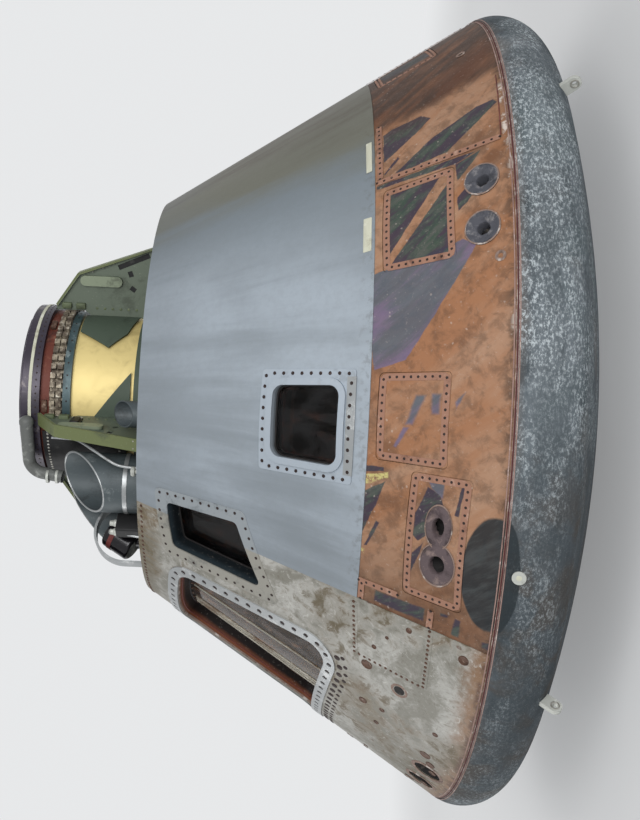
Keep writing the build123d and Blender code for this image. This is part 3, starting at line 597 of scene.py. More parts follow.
def outline_on_cone(
    corners: Sequence[tuple[float, float]], corner: float, grow: float, count: int, out: float = 0.0
) -> tuple[Array, Array]:
    """Evenly spaced loop on the cone round some corners, rounded and grown as an opening is cut.

    The corners are seen square on from over their middle, point . across and point . along. Each side is moved out by
    grow, each corner becomes an arc, and the loop is divided evenly. Each place q is then carried along the middle's
    normal n to the cone that lies out from the face: |q + t n| over the axis = k - (q + t n) . up * tan(slope), whose
    smaller root is t = -2 C / (B + sign(B) sqrt(B^2 - 4 A C)).

    Args:
        corners: angle and height, anticlockwise seen from outside.
        corner: radius of the arcs after growing.
        grow: how far the sides move out.
        count: points on the loop.
        out: metres proud of the face at which the loop is wanted.

    Returns:
        The angles and heights of the loop's places, for frames at that distance.
    """
    flat = np.asarray(corners, float)
    middle = CONE.frames(*flat.mean(0))
    across, along, normal = middle.axes[0]
    points = CONE.frames(flat[:, 0], flat[:, 1]).origins - middle.origins
    plane = np.stack([points @ across, points @ along], -1)
    ahead = np.roll(plane, -1, 0) - plane
    ahead /= np.linalg.norm(ahead, axis=1, keepdims=True)
    side = np.stack([ahead[:, 1], -ahead[:, 0]], -1)
    last = np.roll(side, 1, 0)
    spread = 1 + (side * last).sum(1, keepdims=True)
    centre = plane + (side + last) / spread * (grow - corner)
    start = np.arctan2(last[:, 1], last[:, 0])
    sweep = (np.arctan2(side[:, 1], side[:, 0]) - start) % (2 * math.pi)
    t = start[:, None] + sweep[:, None] * np.linspace(0, 1, 9)[None, :]
    loop = (centre[:, None] + corner * np.stack([np.cos(t), np.sin(t)], -1)).reshape(-1, 2)
    loop = np.concatenate([loop, loop[:1]])
    length = np.concatenate([[0], np.cumsum(np.linalg.norm(np.diff(loop, axis=0), axis=1))])
    place = np.arange(count) / count * length[-1]
    x, y = (np.interp(place, length, loop[:, k])[:, None] for k in range(2))
    spot = middle.origins + x * across + y * along
    slant = math.tan(CONE.slope)
    reach = CONE.seam_radius + out / math.cos(CONE.slope) - (spot[:, 2] - CONE.seam_level) * slant
    a = normal[0] ** 2 + normal[1] ** 2 - (slant * normal[2]) ** 2
    b = 2 * (spot[:, :2] @ normal[:2] + reach * slant * normal[2])
    c = (spot[:, :2] ** 2).sum(1) - reach**2
    spot = spot + (-2 * c / (b + np.sign(b) * np.sqrt(b * b - 4 * a * c)))[:, None] * normal
    return np.degrees(np.arctan2(spot[:, 1], spot[:, 0])), spot[:, 2] - CONE.seam_level - out * math.sin(CONE.slope)


def loop_on_cone(angles: Array, heights: Array, out: float, width: float, thick: float, closed: bool = True) -> Shape:
    """Flat strip with slightly rounded edges that follows a line on the cone."""
    frames = CONE.frames(angles, heights, out)
    half, edge = width / 2, min(width, thick) * 0.3
    profile = np.array(
        [[half, 0], [half, thick - edge], [half - edge, thick], [edge - half, thick], [-half, thick - edge], [-half, 0]]
    )
    return Shape.ribbon(frames.origins, frames.axes[:, 2], profile, closed)


def line_on_cone(start: tuple[float, float], stop: tuple[float, float], step: float) -> tuple[Array, Array]:
    """Evenly spaced places on the cone's straight line between two places, about a step apart."""
    radius = CONE.radius((start[1] + stop[1]) / 2)
    length = math.hypot(math.radians(stop[0] - start[0]) * radius, (stop[1] - start[1]) / math.cos(CONE.slope))
    count = max(2, round(length / step) + 1)
    return np.linspace(start[0], stop[0], count), np.linspace(start[1], stop[1], count)


def bolt(radius: float, height: float, turns: int = 8) -> Shape:
    """Low domed bolt head on its washer."""
    shares = np.array([[1.35, -0.4], [1.35, 0.15], [1.0, 0.3], [0.9, 0.75], [0.5, 1.0]])
    return Shape.lathe(shares * [radius, height], turns)


def hoop(radius: float, level: float, count: int, profile: Array, middle: tuple[float, float] = (0.0, 0.0)) -> Shape:
    """Band round an upright line: a profile carried round a level circle, its second number outward.

    Args:
        radius: of the circle.
        level: its height.
        count: points on it.
        profile: the band's section.
        middle: where the line stands.

    Returns:
        The closed band.
    """
    out = directions(np.degrees(circle(count)))[0]
    return Shape.ribbon(out * radius + [*middle, level], out, profile, closed=True)


def strap(half: float, foot: float, edge: float, crown: float) -> Array:
    """Section of a flat band: half its width, and how far its foot, edge and crown stand out."""
    return np.array([[half, foot], [half, edge], [0.0, crown], [-half, edge], [-half, foot]])


def bands_on_cone(rows: Sequence[Row], out: float, width: float, thick: float, step: float = 0.02) -> Shape:
    """Flat strips along straight lines on the cone, each from one angle and height to another."""
    lines = [line_on_cone(*row, step) for row in rows]
    return Shape.joined([loop_on_cone(*line, out, width, thick, closed=False) for line in lines])


def bolts_on_cone(rows: Sequence[Row], step: float, radius: float, height: float, out: float = 0.0009) -> Shape:
    """Bolts about a step apart along straight lines on the cone."""
    return Shape.joined([bolt(radius, height).at(CONE.frames(*line_on_cone(*row, step), out)) for row in rows])


# Finishes


@dataclass(frozen=True)
class Finish:
    """A surface finish: its name and how its material is made."""

    name: str

    def material(self) -> bpy.types.Material:
        """The finish's material, made once."""
        name = "finish_" + self.name
        known = bpy.data.materials.get(name)
        return known if known else self.make(Graph(bpy.data.materials.new(name)))

    def make(self, graph: Graph) -> bpy.types.Material:
        """Build the node tree."""
        raise NotImplementedError


@dataclass(frozen=True)
class Paint(Finish):
    """Worn paint or bare metal: cloudy colour, dirt in patches, fine scratches and a soft relief."""

    base: Colour
    worn: Colour
    dirt: Colour
    rough: float = 0.5
    metal: float = 0.0
    scale: float = 6.0
    wear: float = 0.5
    grime: float = 0.5
    relief: float = 0.0006

    def make(self, graph: Graph) -> bpy.types.Material:
        """Mix the base with worn spots above one noise level and dirt above another."""
        clouds = graph.noise(self.scale, 6.0, 0.6, 0.3)
        fine = graph.noise(self.scale * 14, 4.0, 0.7)
        x, y, z = graph.axes()
        scratch = graph.noise(1.0, 3.0, 0.6, at=graph.vector(x * 90.0, y * 90.0, z * 12.0))
        worn = (clouds + fine * 0.35).rise(0.86 - self.wear * 0.3, 0.98 - self.wear * 0.25)
        dust = graph.noise(self.scale * 0.6, 5.0, 0.65, 0.5) + fine * 0.3
        dirty = dust.rise(0.83 - self.grime * 0.3, 1.05 - self.grime * 0.3)
        colour = graph.mix(worn, self.base, self.worn)
        colour = graph.mix(dirty * 0.8, colour, self.dirt)
        colour = graph.mix(scratch.rise(0.6, 0.75) * 0.25, colour, self.worn)
        rough = self.rough + (clouds - 0.5) * 0.3 + dirty * 0.15
        shine = 0.3 if self.rough > 0.45 else 0.5
        relief = clouds * 0.4 + fine * 0.4 + scratch * 0.2
        return graph.finish(colour, rough, self.metal, relief, self.relief, Specular_IOR_Level=shine)


@dataclass(frozen=True)
class CharredShield(Finish):
    """Charred heat shield: grey char, fine whitish flecks in clusters drawn out round the edge, dark streaks."""

    char: Colour = paint(104, 111, 117)
    dark: Colour = paint(52, 60, 65)
    pale: Colour = paint(178, 186, 190)
    green: Colour = paint(66, 82, 84)
    brown: Colour = paint(112, 102, 94)
    ash: Colour = paint(132, 140, 145)
    umber: Colour = paint(74, 62, 50)
    soot: Colour = paint(30, 38, 42)

    def make(self, graph: Graph) -> bpy.types.Material:
        """Noises read round the axis are drawn out along the edge; flecks gather where a broad noise is high."""
        turn, height = graph.around()
        radius = graph.reach()
        ring = graph.vector(turn * 0.016, radius, height)
        streak = graph.noise(9.0, 7.0, 0.68, 0.4, at=ring)
        grit = graph.vector(turn * 0.026, radius * 1.25, height * 1.25)
        fleck = graph.noise(70.0, 7.0, 0.82, 0.1, at=grit)
        cloud = graph.noise(1.7, 5.0, 0.6, 0.6)
        cluster = graph.noise(5.0, 5.0, 0.62, 0.5, at=ring)
        speck = graph.noise(120.0, 4.0, 0.72)
        colour = graph.mix((streak * 0.7 + cloud * 0.6).rise(0.5, 0.8), self.dark, self.char)
        colour = graph.mix(cloud.rise(0.5, 0.66) * 0.45, colour, self.green)
        colour = graph.mix(graph.noise(3.1, 5.0, 0.6).rise(0.5, 0.68) * 0.4, colour, self.brown)
        near = (height + (cluster - 0.5) * 0.12).rise(-0.05, 0.0)
        colour = graph.mix(near * 0.5, colour, self.brown)
        column = height.rise(-0.30, -0.14) * height.rise(-0.02, -0.09)
        gather = (cluster + cloud * 0.4 + column * 0.12).rise(0.58, 0.86)
        colour = graph.mix(column * 0.3, colour, self.ash)
        shade = (abs(turn + 64.0) + (cloud - 0.5) * 40.0).rise(44.0, 22.0)
        colour = graph.mix(shade * 0.6, colour, self.dark)
        colour = graph.mix(shade * graph.noise(5.0, 5.0, 0.6, 0.4).rise(0.46, 0.6) * 0.5, colour, self.umber)
        drift = (column * cluster.rise(0.42, 0.58)).most(gather)
        colour = graph.mix(fleck.rise(0.49, 0.60) * (0.05 + drift) * (1.0 - shade * 0.6), colour, self.pale)
        colour = graph.mix(column * cluster.rise(0.54, 0.40) * 0.45, colour, self.dark)
        colour = graph.mix((1.92 - radius).rise(0.0, 0.16) * streak.rise(0.46, 0.6) * 0.6, colour, self.dark)
        colour = graph.mix((1.0 - fleck).rise(0.5, 0.72) * 0.4, colour, self.dark)
        colour = graph.mix(speck.rise(0.56, 0.74) * 0.22, colour, self.pale)
        scorch = scorch_spot(graph, turn, height, -46.2, 0.01, 7.0, 0.075)
        colour = graph.mix(scorch * (0.65 + streak * 0.3), colour, self.soot)
        relief = fleck * 0.5 + speck * 0.3 + streak * 0.5
        return graph.finish(colour, 0.85, 0.0, relief, 0.006, Specular_IOR_Level=0.25)


def scorch_spot(
    graph: Graph, turn: Value, height: Value, angle: float, level: float, wide: float, tall: float
) -> Value:
    """Round dark spot about an angle and height, its edge a little ragged."""
    across = (turn - angle) / wide
    along = (height - level) / tall
    return (across * across + along * along + graph.noise(6.0) * 0.3).rise(1.24, 1.12)


@dataclass(frozen=True)
class Patch:
    """A burnt or bare patch of the cone: a convex outline of angles and heights."""

    corners: tuple[tuple[float, float], ...]
    soft: float = 0.005

    def inside(self, flat: Value) -> Value:
        """Distance inside the patch: the least of a x + b y + c over its sides.

        Args:
            flat: vector of each point's place round and up the cone in metres, with 1 as its third number.

        Returns:
            Metres to the nearest side, below 0 off the patch.
        """
        points = np.asarray(self.corners) * [ARC_STEP, 1.0 / math.cos(CONE.slope)]
        spokes = points - points.mean(0)
        points = points[np.argsort(np.arctan2(spokes[:, 1], spokes[:, 0]))]
        ahead = np.roll(points, -1, 0) - points
        inward = np.stack([-ahead[:, 1], ahead[:, 0]], -1) / np.linalg.norm(ahead, axis=1, keepdims=True)
        offsets = -(inward * points).sum(1)
        dot = "ShaderNodeVectorMath", {"operation": "DOT_PRODUCT"}
        planes = np.c_[inward, offsets].tolist()
        sides = [flat.graph.node(*dot, {0: flat, 1: plane}, output=1) for plane in planes]
        least = sides[0]
        for side in sides[1:]:
            least = least.least(side)
        return least


def together(patches: Sequence[Patch], flat: Value, ragged: Value) -> tuple[Value, Value]:
    """Several patches at once.

    Args:
        patches: the patches.
        flat: as for a patch.
        ragged: noise about 0 that roughens the edges.

    Returns:
        The share of patch at each point, 0 to 1, and the distance inside the nearest one.
    """
    mask, inside = None, None
    for patch in patches:
        distance = patch.inside(flat)
        share = (distance + ragged * 0.016).rise(0.0, patch.soft)
        mask = share if mask is None else mask.most(share)
        inside = distance if inside is None else inside.most(distance)
    return mask, inside


ARC_STEP = 1.84 * math.radians(1.0)

BURNT_PATCHES = (
    Patch(((15.6, 0.448), (16.2, 0.412), (16.1, 0.299), (14.2, 0.256), (12.4, 0.325), (8.3, 0.449))),
    Patch(((6.1, 0.412), (10.3, 0.265), (12.5, 0.101), (12.5, 0.041), (11.6, 0.027), (6.3, 0.216), (6.0, 0.344))),
    Patch(((6.9, 0.449), (9.4, 0.393), (8.7, 0.386), (6.4, 0.446))),
    Patch(((5.1, 0.478), (4.3, 0.478), (3.7, 0.19), (4.7, 0.097), (4.9, 0.2))),
    Patch(((3.7, 0.19), (4.7, 0.097), (3.7, 0.112), (0.7, 0.187))),
    Patch(((-1.5, 0.189), (-0.3, 0.154), (-1.4, 0.128), (-2.6, 0.150), (-3.6, 0.186))),
    Patch(((2.9, 0.445), (2.6, 0.244), (-8.2, 0.445))),
    Patch(((-8.9, 0.428), (1.9, 0.208), (-8.9, 0.206))),
    Patch(((-39.4, 0.484), (-37.4, 0.401), (-42.1, 0.446), (-46.4, 0.484))),
    Patch(((-35.9, 0.486), (-35.8, 0.415), (-36.5, 0.414), (-37.0, 0.486))),
    Patch(((-43.2, 0.435), (-43.5, 0.420), (-47.3, 0.458), (-47.5, 0.475))),
    Patch(
        ((-37.3, 0.262), (-38.2, 0.215), (-39.6, 0.196), (-42.9, 0.238), (-44.6, 0.28), (-43.9, 0.304), (-41.0, 0.298))
    ),
    Patch(((-37.8, 0.155), (-36.7, 0.150), (-36.7, 0.135), (-40.4, 0.150), (-40.2, 0.168))),
    Patch(((-44.0, 0.256), (-46.4, 0.272), (-49.9, 0.305), (-46.3, 0.300))),
    Patch(((-53.4, 0.42), (-53.2, 0.229), (-55.5, 0.229), (-55.5, 0.423)), 0.012),
    Patch(((-53.0, 0.183), (-52.9, 0.148), (-53.4, 0.152), (-53.7, 0.181)), 0.01),
    Patch(((-52.9, 0.132), (-52.9, 0.103), (-55.6, 0.105), (-55.6, 0.139)), 0.01),
    Patch(((-54.6, 0.036), (-54.3, 0.0), (-55.6, -0.001), (-55.6, 0.03)), 0.01),
    Patch(((46.0, 0.43), (41.5, 0.23), (36.5, 0.21), (37.5, 0.42))),
    Patch(((60.0, 0.478), (53.0, 0.478), (56.0, 0.10), (62.0, 0.06))),
    Patch(((75.0, 0.38), (74.5, 0.24), (64.0, 0.14), (66.0, 0.36))),
)
SHEEN_PATCHES = (
    Patch(((-9.6, 0.484), (-7.4, 0.172), (-8.5, 0.122), (-22.0, 0.359), (-23.3, 0.472), (-20.0, 0.484))),
    Patch(((-24.1, 0.450), (-24.5, 0.419), (-26.7, 0.448))),
    Patch(((-30.4, 0.437), (-31.8, 0.437), (-32.9, 0.449), (-31.2, 0.450)), 0.01),
    Patch(((-26.1, 0.324), (-26.2, 0.278), (-30.2, 0.322), (-30.3, 0.359)), 0.016),
    Patch(((-30.3, 0.361), (-30.3, 0.332), (-33.3, 0.377), (-33.1, 0.396)), 0.01),
    Patch(((-26.0, 0.27), (-26.0, 0.228), (-28.8, 0.232), (-28.8, 0.27)), 0.016),
    Patch(((-27.0, 0.190), (-26.0, 0.165), (-25.5, 0.140), (-28.2, 0.184)), 0.012),
    Patch(((-36.6, 0.263), (-36.6, 0.20), (-38.9, 0.204), (-37.6, 0.25)), 0.01),
    Patch(((84.0, 0.478), (78.0, 0.478), (76.0, 0.40), (80.0, 0.42))),
)
BRIGHT_PATCHES = (
    Patch(((-37.1, 0.484), (-36.3, 0.400), (-37.2, 0.397), (-38.8, 0.484)), 0.008),
    Patch(((-47.7, 0.484), (-47.7, 0.465), (-48.7, 0.465), (-48.7, 0.484)), 0.01),
)


@dataclass(frozen=True)
class ScorchedAblator(Finish):
    """Tan ablator with sharp dark green and purple patches, rust with painted shade towards the back, painted shade
    towards the hatch side, chips and pale flakes.
    """

    tan: Colour = paint(156, 122, 98)
    orange: Colour = paint(144, 100, 70)
    rust: Colour = paint(78, 46, 29)
    burnt: Colour = paint(56, 42, 34)
    green: Colour = paint(42, 66, 56)
    navy: Colour = paint(50, 44, 58)
    purple: Colour = paint(104, 92, 118)
    teal: Colour = paint(78, 88, 98)
    yellow: Colour = paint(182, 172, 112)
    pale: Colour = paint(196, 184, 174)
    cinder: Colour = paint(58, 44, 42)
    haze: Colour = paint(88, 84, 86)
    soot: Colour = paint(24, 30, 34)
    smoke: Colour = paint(52, 58, 60)

    def make(self, graph: Graph) -> bpy.types.Material:
        """Diagonal noise clouds the tan, patches lay the dark over it, and noises scatter flakes."""
        turn, height = graph.around(folded=True)
        flat = graph.vector(turn * ARC_STEP, height / math.cos(CONE.slope), 1.0)
        slant = graph.vector(turn * 0.12 + height * 3.6, turn * 0.03 - height * 0.6, graph.axes()[0] * 0.2)
        cloud = graph.noise(1.0, 6.0, 0.62, 0.5, at=slant)
        coarse = graph.noise(2.6, 5.0, 0.6, 0.6)
        mottle = graph.noise(17.0, 6.0, 0.68, 0.4)
        fine = graph.noise(70.0, 5.0, 0.7)
        grain = graph.noise(4.5, 6.0, 0.7, 0.2, at=slant)
        ragged = graph.noise(16.0, 5.0, 0.65) - 0.5
        colour = graph.mix(cloud.rise(0.36, 0.62), self.orange, self.tan)
        colour = graph.mix(grain.rise(0.42, 0.62) * 0.35, colour, self.orange)
        colour = graph.mix((mottle + coarse * 0.4).rise(0.62, 0.86) * 0.45, colour, self.burnt)
        colour = graph.mix(coarse.rise(0.54, 0.7) * 0.22, colour, self.rust)
        # Rust and burnt colour towards the back: partly rust, partly painted shade that darkens the back.
        back = (turn + (cloud - 0.5) * 5.0 + (height - 0.25) * 5.0).rise(16.5, 19.5)
        colour = graph.mix(back * (0.6 + cloud.rise(0.35, 0.6) * 0.35), colour, self.rust)
        colour = graph.mix(back * graph.noise(1.5, 6.0, 0.6, 0.3, at=slant).rise(0.36, 0.54) * 0.85, colour, self.burnt)
        # Painted shade: a burnt tone darkens the ablator towards the hatch side's angles.
        under = (turn + (cloud - 0.5) * 14.0 + (mottle - 0.5) * 5.0).rise(-42.0, -56.0)
        colour = graph.mix(under * 0.5, colour, self.burnt)
        edge = height.rise(0.045, 0.0) * (0.3 + mottle.rise(0.42, 0.6) * 0.7)
        colour = graph.mix(edge * 0.7, colour, self.burnt)
        tint = graph.noise(1.3, 5.0, 0.6, 0.9, at=slant * 1.7)
        share, inside = together(SHEEN_PATCHES, flat, ragged)
        sheen = graph.mix((tint + inside * 1.2 + grain * 0.3).rise(0.5, 0.76), self.purple, self.teal)
        colour = graph.mix(share * 0.9, colour, graph.mix(grain.rise(0.42, 0.62) * 0.2, sheen, self.navy))
        share, inside = together(BURNT_PATCHES, flat, ragged)
        stripe = graph.noise(5.5, 6.0, 0.66, 0.2, at=slant)
        deep = graph.mix((inside * 3.5 + tint * 0.6 + (stripe - 0.5) * 2.2).rise(0.24, 0.6), self.navy, self.green)
        deep = graph.mix(turn.rise(12.0, 16.0) * 0.5, deep, self.cinder)
        deep = graph.mix((stripe + fine * 0.3).rise(0.6, 0.8) * 0.45, deep, self.haze)
        colour = graph.mix(share * 0.95, colour, deep)
        spot = graph.noise(60.0, 4.0, 0.7).rise(0.4, 0.56)
        colour = graph.mix(together(BRIGHT_PATCHES, flat, ragged)[0] * spot, colour, self.yellow)
        chips = graph.cells(26.0, graph.place + graph.noise(9.0) * 0.05).rise(0.14, 0.08) * coarse.rise(0.48, 0.56)
        colour = graph.mix(chips * 0.3, colour, self.pale)
        flakes = height.rise(0.026, 0.016) * height.rise(0.0, 0.006) * turn.rise(15.5, 14.0) * turn.rise(4.0, 5.5)
        flakes = flakes.most(height.rise(0.02, 0.006) * coarse.rise(0.55, 0.62) * 0.6)
        colour = graph.mix(flakes * mottle.rise(0.46, 0.54), colour, self.pale)
        colour = graph.mix(fine.rise(0.58, 0.72) * 0.2, colour, self.pale)
        scorch = scorch_spot(graph, turn, height, -46.2, 0.025, 6.7, 0.1)
        colour = graph.mix(scorch * 0.96, colour, graph.mix(grain.rise(0.4, 0.65), self.soot, self.smoke))
        rough = 0.62 + (mottle - 0.5) * 0.3
        relief = fine * 0.4 + mottle * 0.35 + coarse * 0.3 + chips * 0.4
        return graph.finish(colour, rough, 0.0, relief, 0.0014, Specular_IOR_Level=0.25)


@dataclass(frozen=True)
class GreySheet(Finish):
    """Smooth blue-grey upper sheet with broad soft tones, painted shade towards the back, soil and painted shade
    towards the forward end and the hatch side, and an olive stain towards the back.
    """

    base: Colour = paint(150, 159, 168)
    deep: Colour = paint(126, 134, 141)
    olive: Colour = paint(94, 92, 74)
    brown: Colour = paint(68, 60, 47)
    dull: Colour = paint(122, 128, 130)
    dark: Colour = paint(92, 102, 108)
    soil_and_shade: Colour = paint(96, 102, 106)
    straw: Colour = paint(142, 140, 124)
    light: Colour = paint(186, 192, 196)

    def make(self, graph: Graph) -> bpy.types.Material:
        """Broad noise varies the grey's tone; painted shade darkens it towards the back, and the stain lies at the
        back's angles with a wavy border that noise breaks up.
        """
        turn, height = graph.around(folded=True)
        upright = graph.vector(turn * 0.16, height * 0.9, graph.axes()[0] * 0.2)
        streak = graph.noise(1.0, 6.0, 0.6, 0.3, at=upright)
        broad = graph.noise(1.3, 4.0, 0.5, 0.3)
        fine = graph.noise(140.0, 3.0, 0.7)
        cloth = graph.noise(34.0, 5.0, 0.65)
        colour = graph.mix((streak * 0.5 + broad * 0.5).rise(0.38, 0.62), self.deep, self.base)
        colour = graph.mix(cloth.rise(0.4, 0.66) * 0.16, colour, self.dull)
        wavy = turn + (streak - 0.5) * 22.0 + (broad - 0.5) * 12.0 - (height - 0.8) * 6.0
        # Painted shade: a darker grey towards the back.
        colour = graph.mix(wavy.rise(-8.0, 13.0) * 0.65, colour, self.dark)
        colour = graph.mix(wavy.rise(8.0, 20.0) * 0.8, colour, self.olive)
        colour = graph.mix(wavy.rise(20.0, 32.0) * (0.3 + streak.rise(0.4, 0.6) * 0.7) * 0.85, colour, self.brown)
        colour = graph.mix(wavy.rise(48.0, 66.0) * broad.rise(0.38, 0.6) * 0.6, colour, self.straw)
        colour = graph.mix(fine.rise(0.6, 0.75) * 0.1, colour, self.light)
        # Darker soil tone towards the forward end and the hatch side: partly dirt, partly painted shade.
        forward = (height + (streak - 0.5) * 0.5).rise(1.1, 1.4)
        hatchward_dirt_and_shade = (turn + (streak - 0.5) * 30.0).rise(-34.0, -58.0)
        colour = graph.mix(forward.most(hatchward_dirt_and_shade) * 0.3, colour, self.soil_and_shade)
        edge = height.rise(0.55, 0.485) * cloth.rise(0.5, 0.64)
        colour = graph.mix(edge * 0.25, colour, self.brown)
        rough = 0.5 + (broad - 0.5) * 0.2 + (cloth - 0.5) * 0.1
        return graph.finish(colour, rough, 0.05, cloth * 0.25 + fine * 0.2 + broad, 0.0008, Specular_IOR_Level=0.35)


@dataclass(frozen=True)
class StainedFoil(Finish):
    """Mottled silver foil on the hatch side, with tan and olive stains that gather by the seam and openings."""

    silver: Colour = paint(118, 116, 107)
    white: Colour = paint(172, 171, 166)
    tan: Colour = paint(114, 98, 74)
    olive: Colour = paint(80, 72, 50)
    rust: Colour = paint(82, 54, 38)
    orange: Colour = paint(122, 84, 48)
    brown: Colour = paint(92, 74, 52)
    # Painted highlight and painted shadow colours of the foil's crinkles.
    bright: Colour = paint(196, 195, 190)
    shadow: Colour = paint(84, 76, 62)

    def make(self, graph: Graph) -> bpy.types.Material:
        """Patches of two noises share out white, tan and olive; rust gathers by the seam and in small spots."""
        turn, height = graph.around(folded=True)
        patch = graph.noise(3.0, 6.0, 0.6, 0.7)
        small = graph.noise(12.0, 6.0, 0.66, 0.5)
        fine = graph.noise(62.0, 5.0, 0.7)
        broad = graph.noise(1.5, 4.0, 0.55, 0.5)
        colour = graph.mix((patch * 0.6 + small * 0.5).rise(0.46, 0.64), self.silver, self.white)
        colour = graph.mix((broad * 0.7 + small * 0.5).rise(0.56, 0.74) * 0.65, colour, self.tan)
        colour = graph.mix((small + patch * 0.6).rise(0.86, 1.0) * 0.55, colour, self.olive)
        under = (turn + (broad - 0.5) * 12.0).rise(-76.0, -88.0)
        colour = graph.mix(under * (0.25 + small.rise(0.4, 0.6) * 0.6) * height.rise(0.5, 0.1), colour, self.olive)
        low = (height + (small - 0.5) * 0.12 + (broad - 0.5) * 0.1).rise(0.1, 0.0)
        colour = graph.mix(low * 0.8, colour, self.orange)
        colour = graph.mix(small.rise(0.5, 0.62) * broad.rise(0.42, 0.56) * 0.55, colour, self.brown)
        stain = (patch * 0.6 + broad * 0.6 + small * 0.3).rise(0.72, 0.92)
        colour = graph.mix(stain * 0.6, colour, self.olive)
        rim = (height + (fine - 0.5) * 0.02).rise(0.028, 0.012)
        colour = graph.mix(rim * small.rise(0.4, 0.55) * 0.9, colour, self.rust)
        # Painted highlights and painted shadow on the foil's crinkles: light where the crease noise is high, dark where
        # it is low.
        crease = graph.noise(26.0, 6.0, 0.7, 1.2)
        colour = graph.mix(crease.rise(0.56, 0.68) * 0.5, colour, self.bright)
        colour = graph.mix(crease.rise(0.42, 0.32) * 0.45, colour, self.shadow)
        high = (height - 1.30 + (broad - 0.5) * 0.3).rise(0.0, 0.08)
        colour = graph.mix(high * (turn + (broad - 0.5) * 10.0).rise(-60.0, -68.0) * 0.7, colour, self.olive)
        run = graph.noise(1.0, 5.0, 0.6, 0.2, at=graph.vector(turn * 0.9, height * 1.4, 0.0))
        colour = graph.mix(high * run.rise(0.45, 0.62) * 0.6, colour, self.tan)
        spots = graph.cells(9.0, graph.place + small * 0.05).rise(0.11, 0.07) * broad.rise(0.42, 0.5)
        colour = graph.mix(spots * 0.75, colour, self.rust)
        colour = graph.mix(fine.rise(0.56, 0.7) * 0.22, colour, self.white)
        colour = graph.mix(fine.rise(0.46, 0.36) * 0.2, colour, self.olive)
        relief = patch * 0.4 + small * 0.5 + fine * 0.15
        return graph.finish(colour, 0.46 + small * 0.22, 0.1, relief, 0.0024, Specular_IOR_Level=0.4)


@dataclass(frozen=True)
class FrameMetal(Finish):
    """Opening's frame: one colour on its face, a second just inside the edge and a third deep down, the inside
    darkening with depth as painted shade in the recess.
    """

    face: Colour
    side_face: Colour
    edge: Colour
    deep: Colour
    start: float
    stop: float
    metal: float = 0.3
    scuff: Colour = paint(196, 192, 184)

    def make(self, graph: Graph) -> bpy.types.Material:
        """Depth under the cone's face picks the colour, darker deeper in as painted shade; the two face colours meet
        where grey sheet meets foil.
        """
        turn = graph.around(folded=True)[0]
        depth = graph.depth()
        cloud = graph.noise(7.0, 6.0, 0.62, 0.4)
        fine = graph.noise(70.0, 4.0, 0.7)
        face = graph.mix((turn + 56.0).rise(0.2, -0.2), self.face, self.side_face)
        face = graph.mix((cloud + fine * 0.3).rise(0.66, 0.84) * 0.5, face, self.edge)
        # Painted shade: inside the opening the colour runs from the edge colour to the deep, near-black colour with
        # depth.
        inner = graph.mix((depth + (cloud - 0.5) * 0.02).rise(self.start + 0.012, self.stop), self.edge, self.deep)
        colour = graph.mix(depth.rise(self.start, self.start + 0.002), face, inner)
        colour = graph.mix(fine.rise(0.58, 0.72) * 0.2, colour, self.scuff)
        rough, relief = 0.5 + (cloud - 0.5) * 0.3, cloud * 0.5 + fine * 0.5
        return graph.finish(colour, rough, self.metal, relief, 0.0007, Specular_IOR_Level=0.3)


@dataclass(frozen=True)
class Seam(Finish):
    """Filled joint: brown filler with one thin dark red line along its middle."""

    filler: Colour = paint(128, 102, 92)
    line: Colour = paint(70, 32, 34)
    pale: Colour = paint(180, 166, 158)
    dirt: Colour = paint(88, 66, 58)
    corner_r: float = 1.7602
    corner_z: float = 0.5543
    middle: float = 31.3

    def make(self, graph: Graph) -> bpy.types.Material:
        """The line lies where the bearing about the heat shield's corner circle is near the joint's middle."""
        offset = {0: graph.axes()[2] - self.corner_z, 1: graph.reach() - self.corner_r}
        bearing = graph.node("ShaderNodeMath", {"operation": "ARCTAN2"}, offset) * math.degrees(1.0)
        mottle = graph.noise(22.0, 5.0, 0.68, 0.4)
        colour = graph.mix(mottle.rise(0.5, 0.66), self.filler, self.pale)
        colour = graph.mix(mottle.rise(0.46, 0.34) * 0.6, colour, self.dirt)
        colour = graph.mix(abs(bearing - self.middle + (mottle - 0.5) * 0.3).rise(1.0, 0.7), colour, self.line)
        return graph.finish(colour, 0.75, 0.0, mottle, 0.0012, Specular_IOR_Level=0.3)


